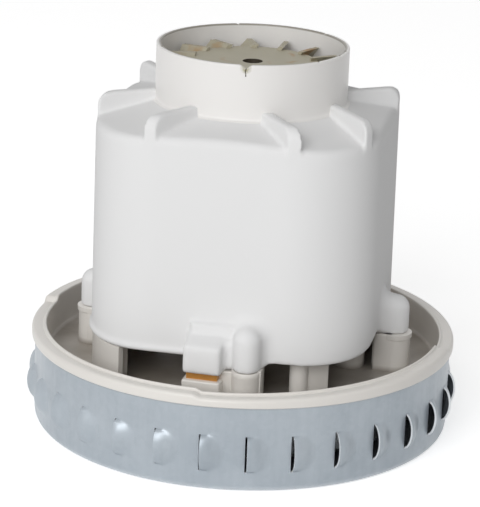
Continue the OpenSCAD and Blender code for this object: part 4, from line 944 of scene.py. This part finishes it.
# %% [markdown]
# ## Brush springs
# Each carbon brush is pushed to the commutator by a coil spring that leans on the cap behind it, and the spring gets
# shorter when the brush moves out. The spring is modelled again: a small circle is spun about the brush's axis and
# moved along it at each step.

# %% Brush springs
SPRING_R, WIRE_R, TURNS, TURN_STEPS = 2.3, 0.35, 7, 16
SPRING_IN, SPRING_OUT, SPRING_Z, TRAVEL = 37.52, 46.87, 32.6, 3


def add_spring(bm):
    """A coil spring along the axis of the front brush."""
    steps = TURNS * TURN_STEPS
    wire = bmesh.ops.create_circle(bm, segments=8, radius=WIRE_R)["verts"]
    bmesh.ops.translate(bm, vec=(SPRING_R, -SPRING_IN, SPRING_Z), verts=wire)
    bmesh.ops.spin(bm, geom=wire + edges_of(wire), cent=(0, 0, SPRING_Z), axis=(0, 1, 0), angle=math.tau * TURNS,
                   steps=steps, dvec=(0, (SPRING_IN - SPRING_OUT) / steps, 0))
    bmesh.ops.holes_fill(bm, edges=[e for e in bm.edges if e.is_boundary], sides=0)


for side, turn in (("front", BRUSH_TURN), ("rear", BRUSH_TURN + 180)):
    coil = bmesh.new()
    turned(coil, turn, add_spring)
    spring = to_object(coil, side + "_spring")
    dress(spring, "screw_steel", "housing", side + "_brush_spring")
    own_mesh(spring)

# %% [markdown]
# ## Finishes for the CAD pieces
# The rest keeps its CAD mesh. Every node gets the finish of its slot in the record, so that nothing is left bare.

# %% Finishes for the CAD pieces
for part in frame["record"]["subparts"]:
    node = frame["nodes"][part["node"]]
    if not node.material_slots:
        node.data.materials.append(None)
    for material_slot in node.material_slots:
        material_slot.material = finishes[part["material_slot"]]

# %% [markdown]
# ## Floor
# The unit stands on a white sweep. To the camera and in reflections the sweep glows a little, so that it comes out
# nearly as white as the world behind it. Other rays don't meet the glow, so it doesn't light the unit.

# %% Floor
FLOOR_GLOW = 0.52


def ray_is(tree, *kinds):
    """1 where the ray is of one of these kinds, otherwise 0."""
    path = add(tree, "LightPath").outputs
    found = path[f"Is {kinds[0]} Ray"]
    for kind in kinds[1:]:
        found = add(tree, "Math", {0: found, 1: path[f"Is {kind} Ray"]}, operation="MAXIMUM").outputs["Value"]
    return found


stage_floor = bmesh.new()
bmesh.ops.create_grid(stage_floor, x_segments=1, y_segments=1, size=3000)
floor = to_object(stage_floor, "floor")
floor.location.z = cad_box[0][2] - 0.05 * MM
sweep, tree, shader, _ = start_finish("white_paper_sweep", Roughness=0.9, Base_Color=linear("#f4f4f4"),
                                      Emission_Color=linear("#ffffff"))
lift = {0: ray_is(tree, "Camera", "Glossy"), 1: FLOOR_GLOW}
lift = add(tree, "Math", lift, operation="MULTIPLY").outputs["Value"]
tree.links.new(lift, shader.inputs["Emission Strength"])
floor.data.materials.append(sweep)
print("finish:", sweep.name)

# %% [markdown]
# ## Light and world
# One wide soft lamp from the front and above models the round forms, and a small one from the left puts a glint on the
# louvres. The world gives a low even light, and is plain white to the camera and in reflections.

# %% Light and world
MIDDLE, WORLD_LIGHT = Vector((0, 0, 0.06)), 0.37
LAMPS = [("key", -9, 27, 1.6, 1.0, 13.2), ("glint", -50, 42, 1.6, 0.3, 1.3)]


def lamp(name, azimuth, elevation, distance, size, power):
    """A square soft lamp that faces the middle of the object; angles in degrees, sizes in metres."""
    data = bpy.data.lights.new(name, "AREA")
    data.size = size
    data.energy = power
    light = bpy.data.objects.new(name, data)
    bpy.context.scene.collection.objects.link(light)
    e = math.radians(elevation)
    away = to_side(azimuth) * math.cos(e) + Vector((0, 0, math.sin(e)))
    light.location = MIDDLE + distance * away
    light.rotation_euler = away.to_track_quat("Z", "Y").to_euler()


for values in LAMPS:
    lamp(*values)
world = bpy.data.worlds.new("studio")
bpy.context.scene.world = world
world.use_nodes = True
tree = world.node_tree
tree.nodes.clear()
seen = ray_is(tree, "Camera", "Glossy", "Transmission")
strength = add(tree, "MapRange", {"Value": seen, "To Min": WORLD_LIGHT, "To Max": 1}).outputs["Result"]
sky = add(tree, "Background", {"Color": "#ffffff", "Strength": strength}).outputs["Background"]
add(tree, "OutputWorld", {"Surface": sky})
bpy.context.scene.view_settings.view_transform = "Standard"
print("lamps:", len(LAMPS))
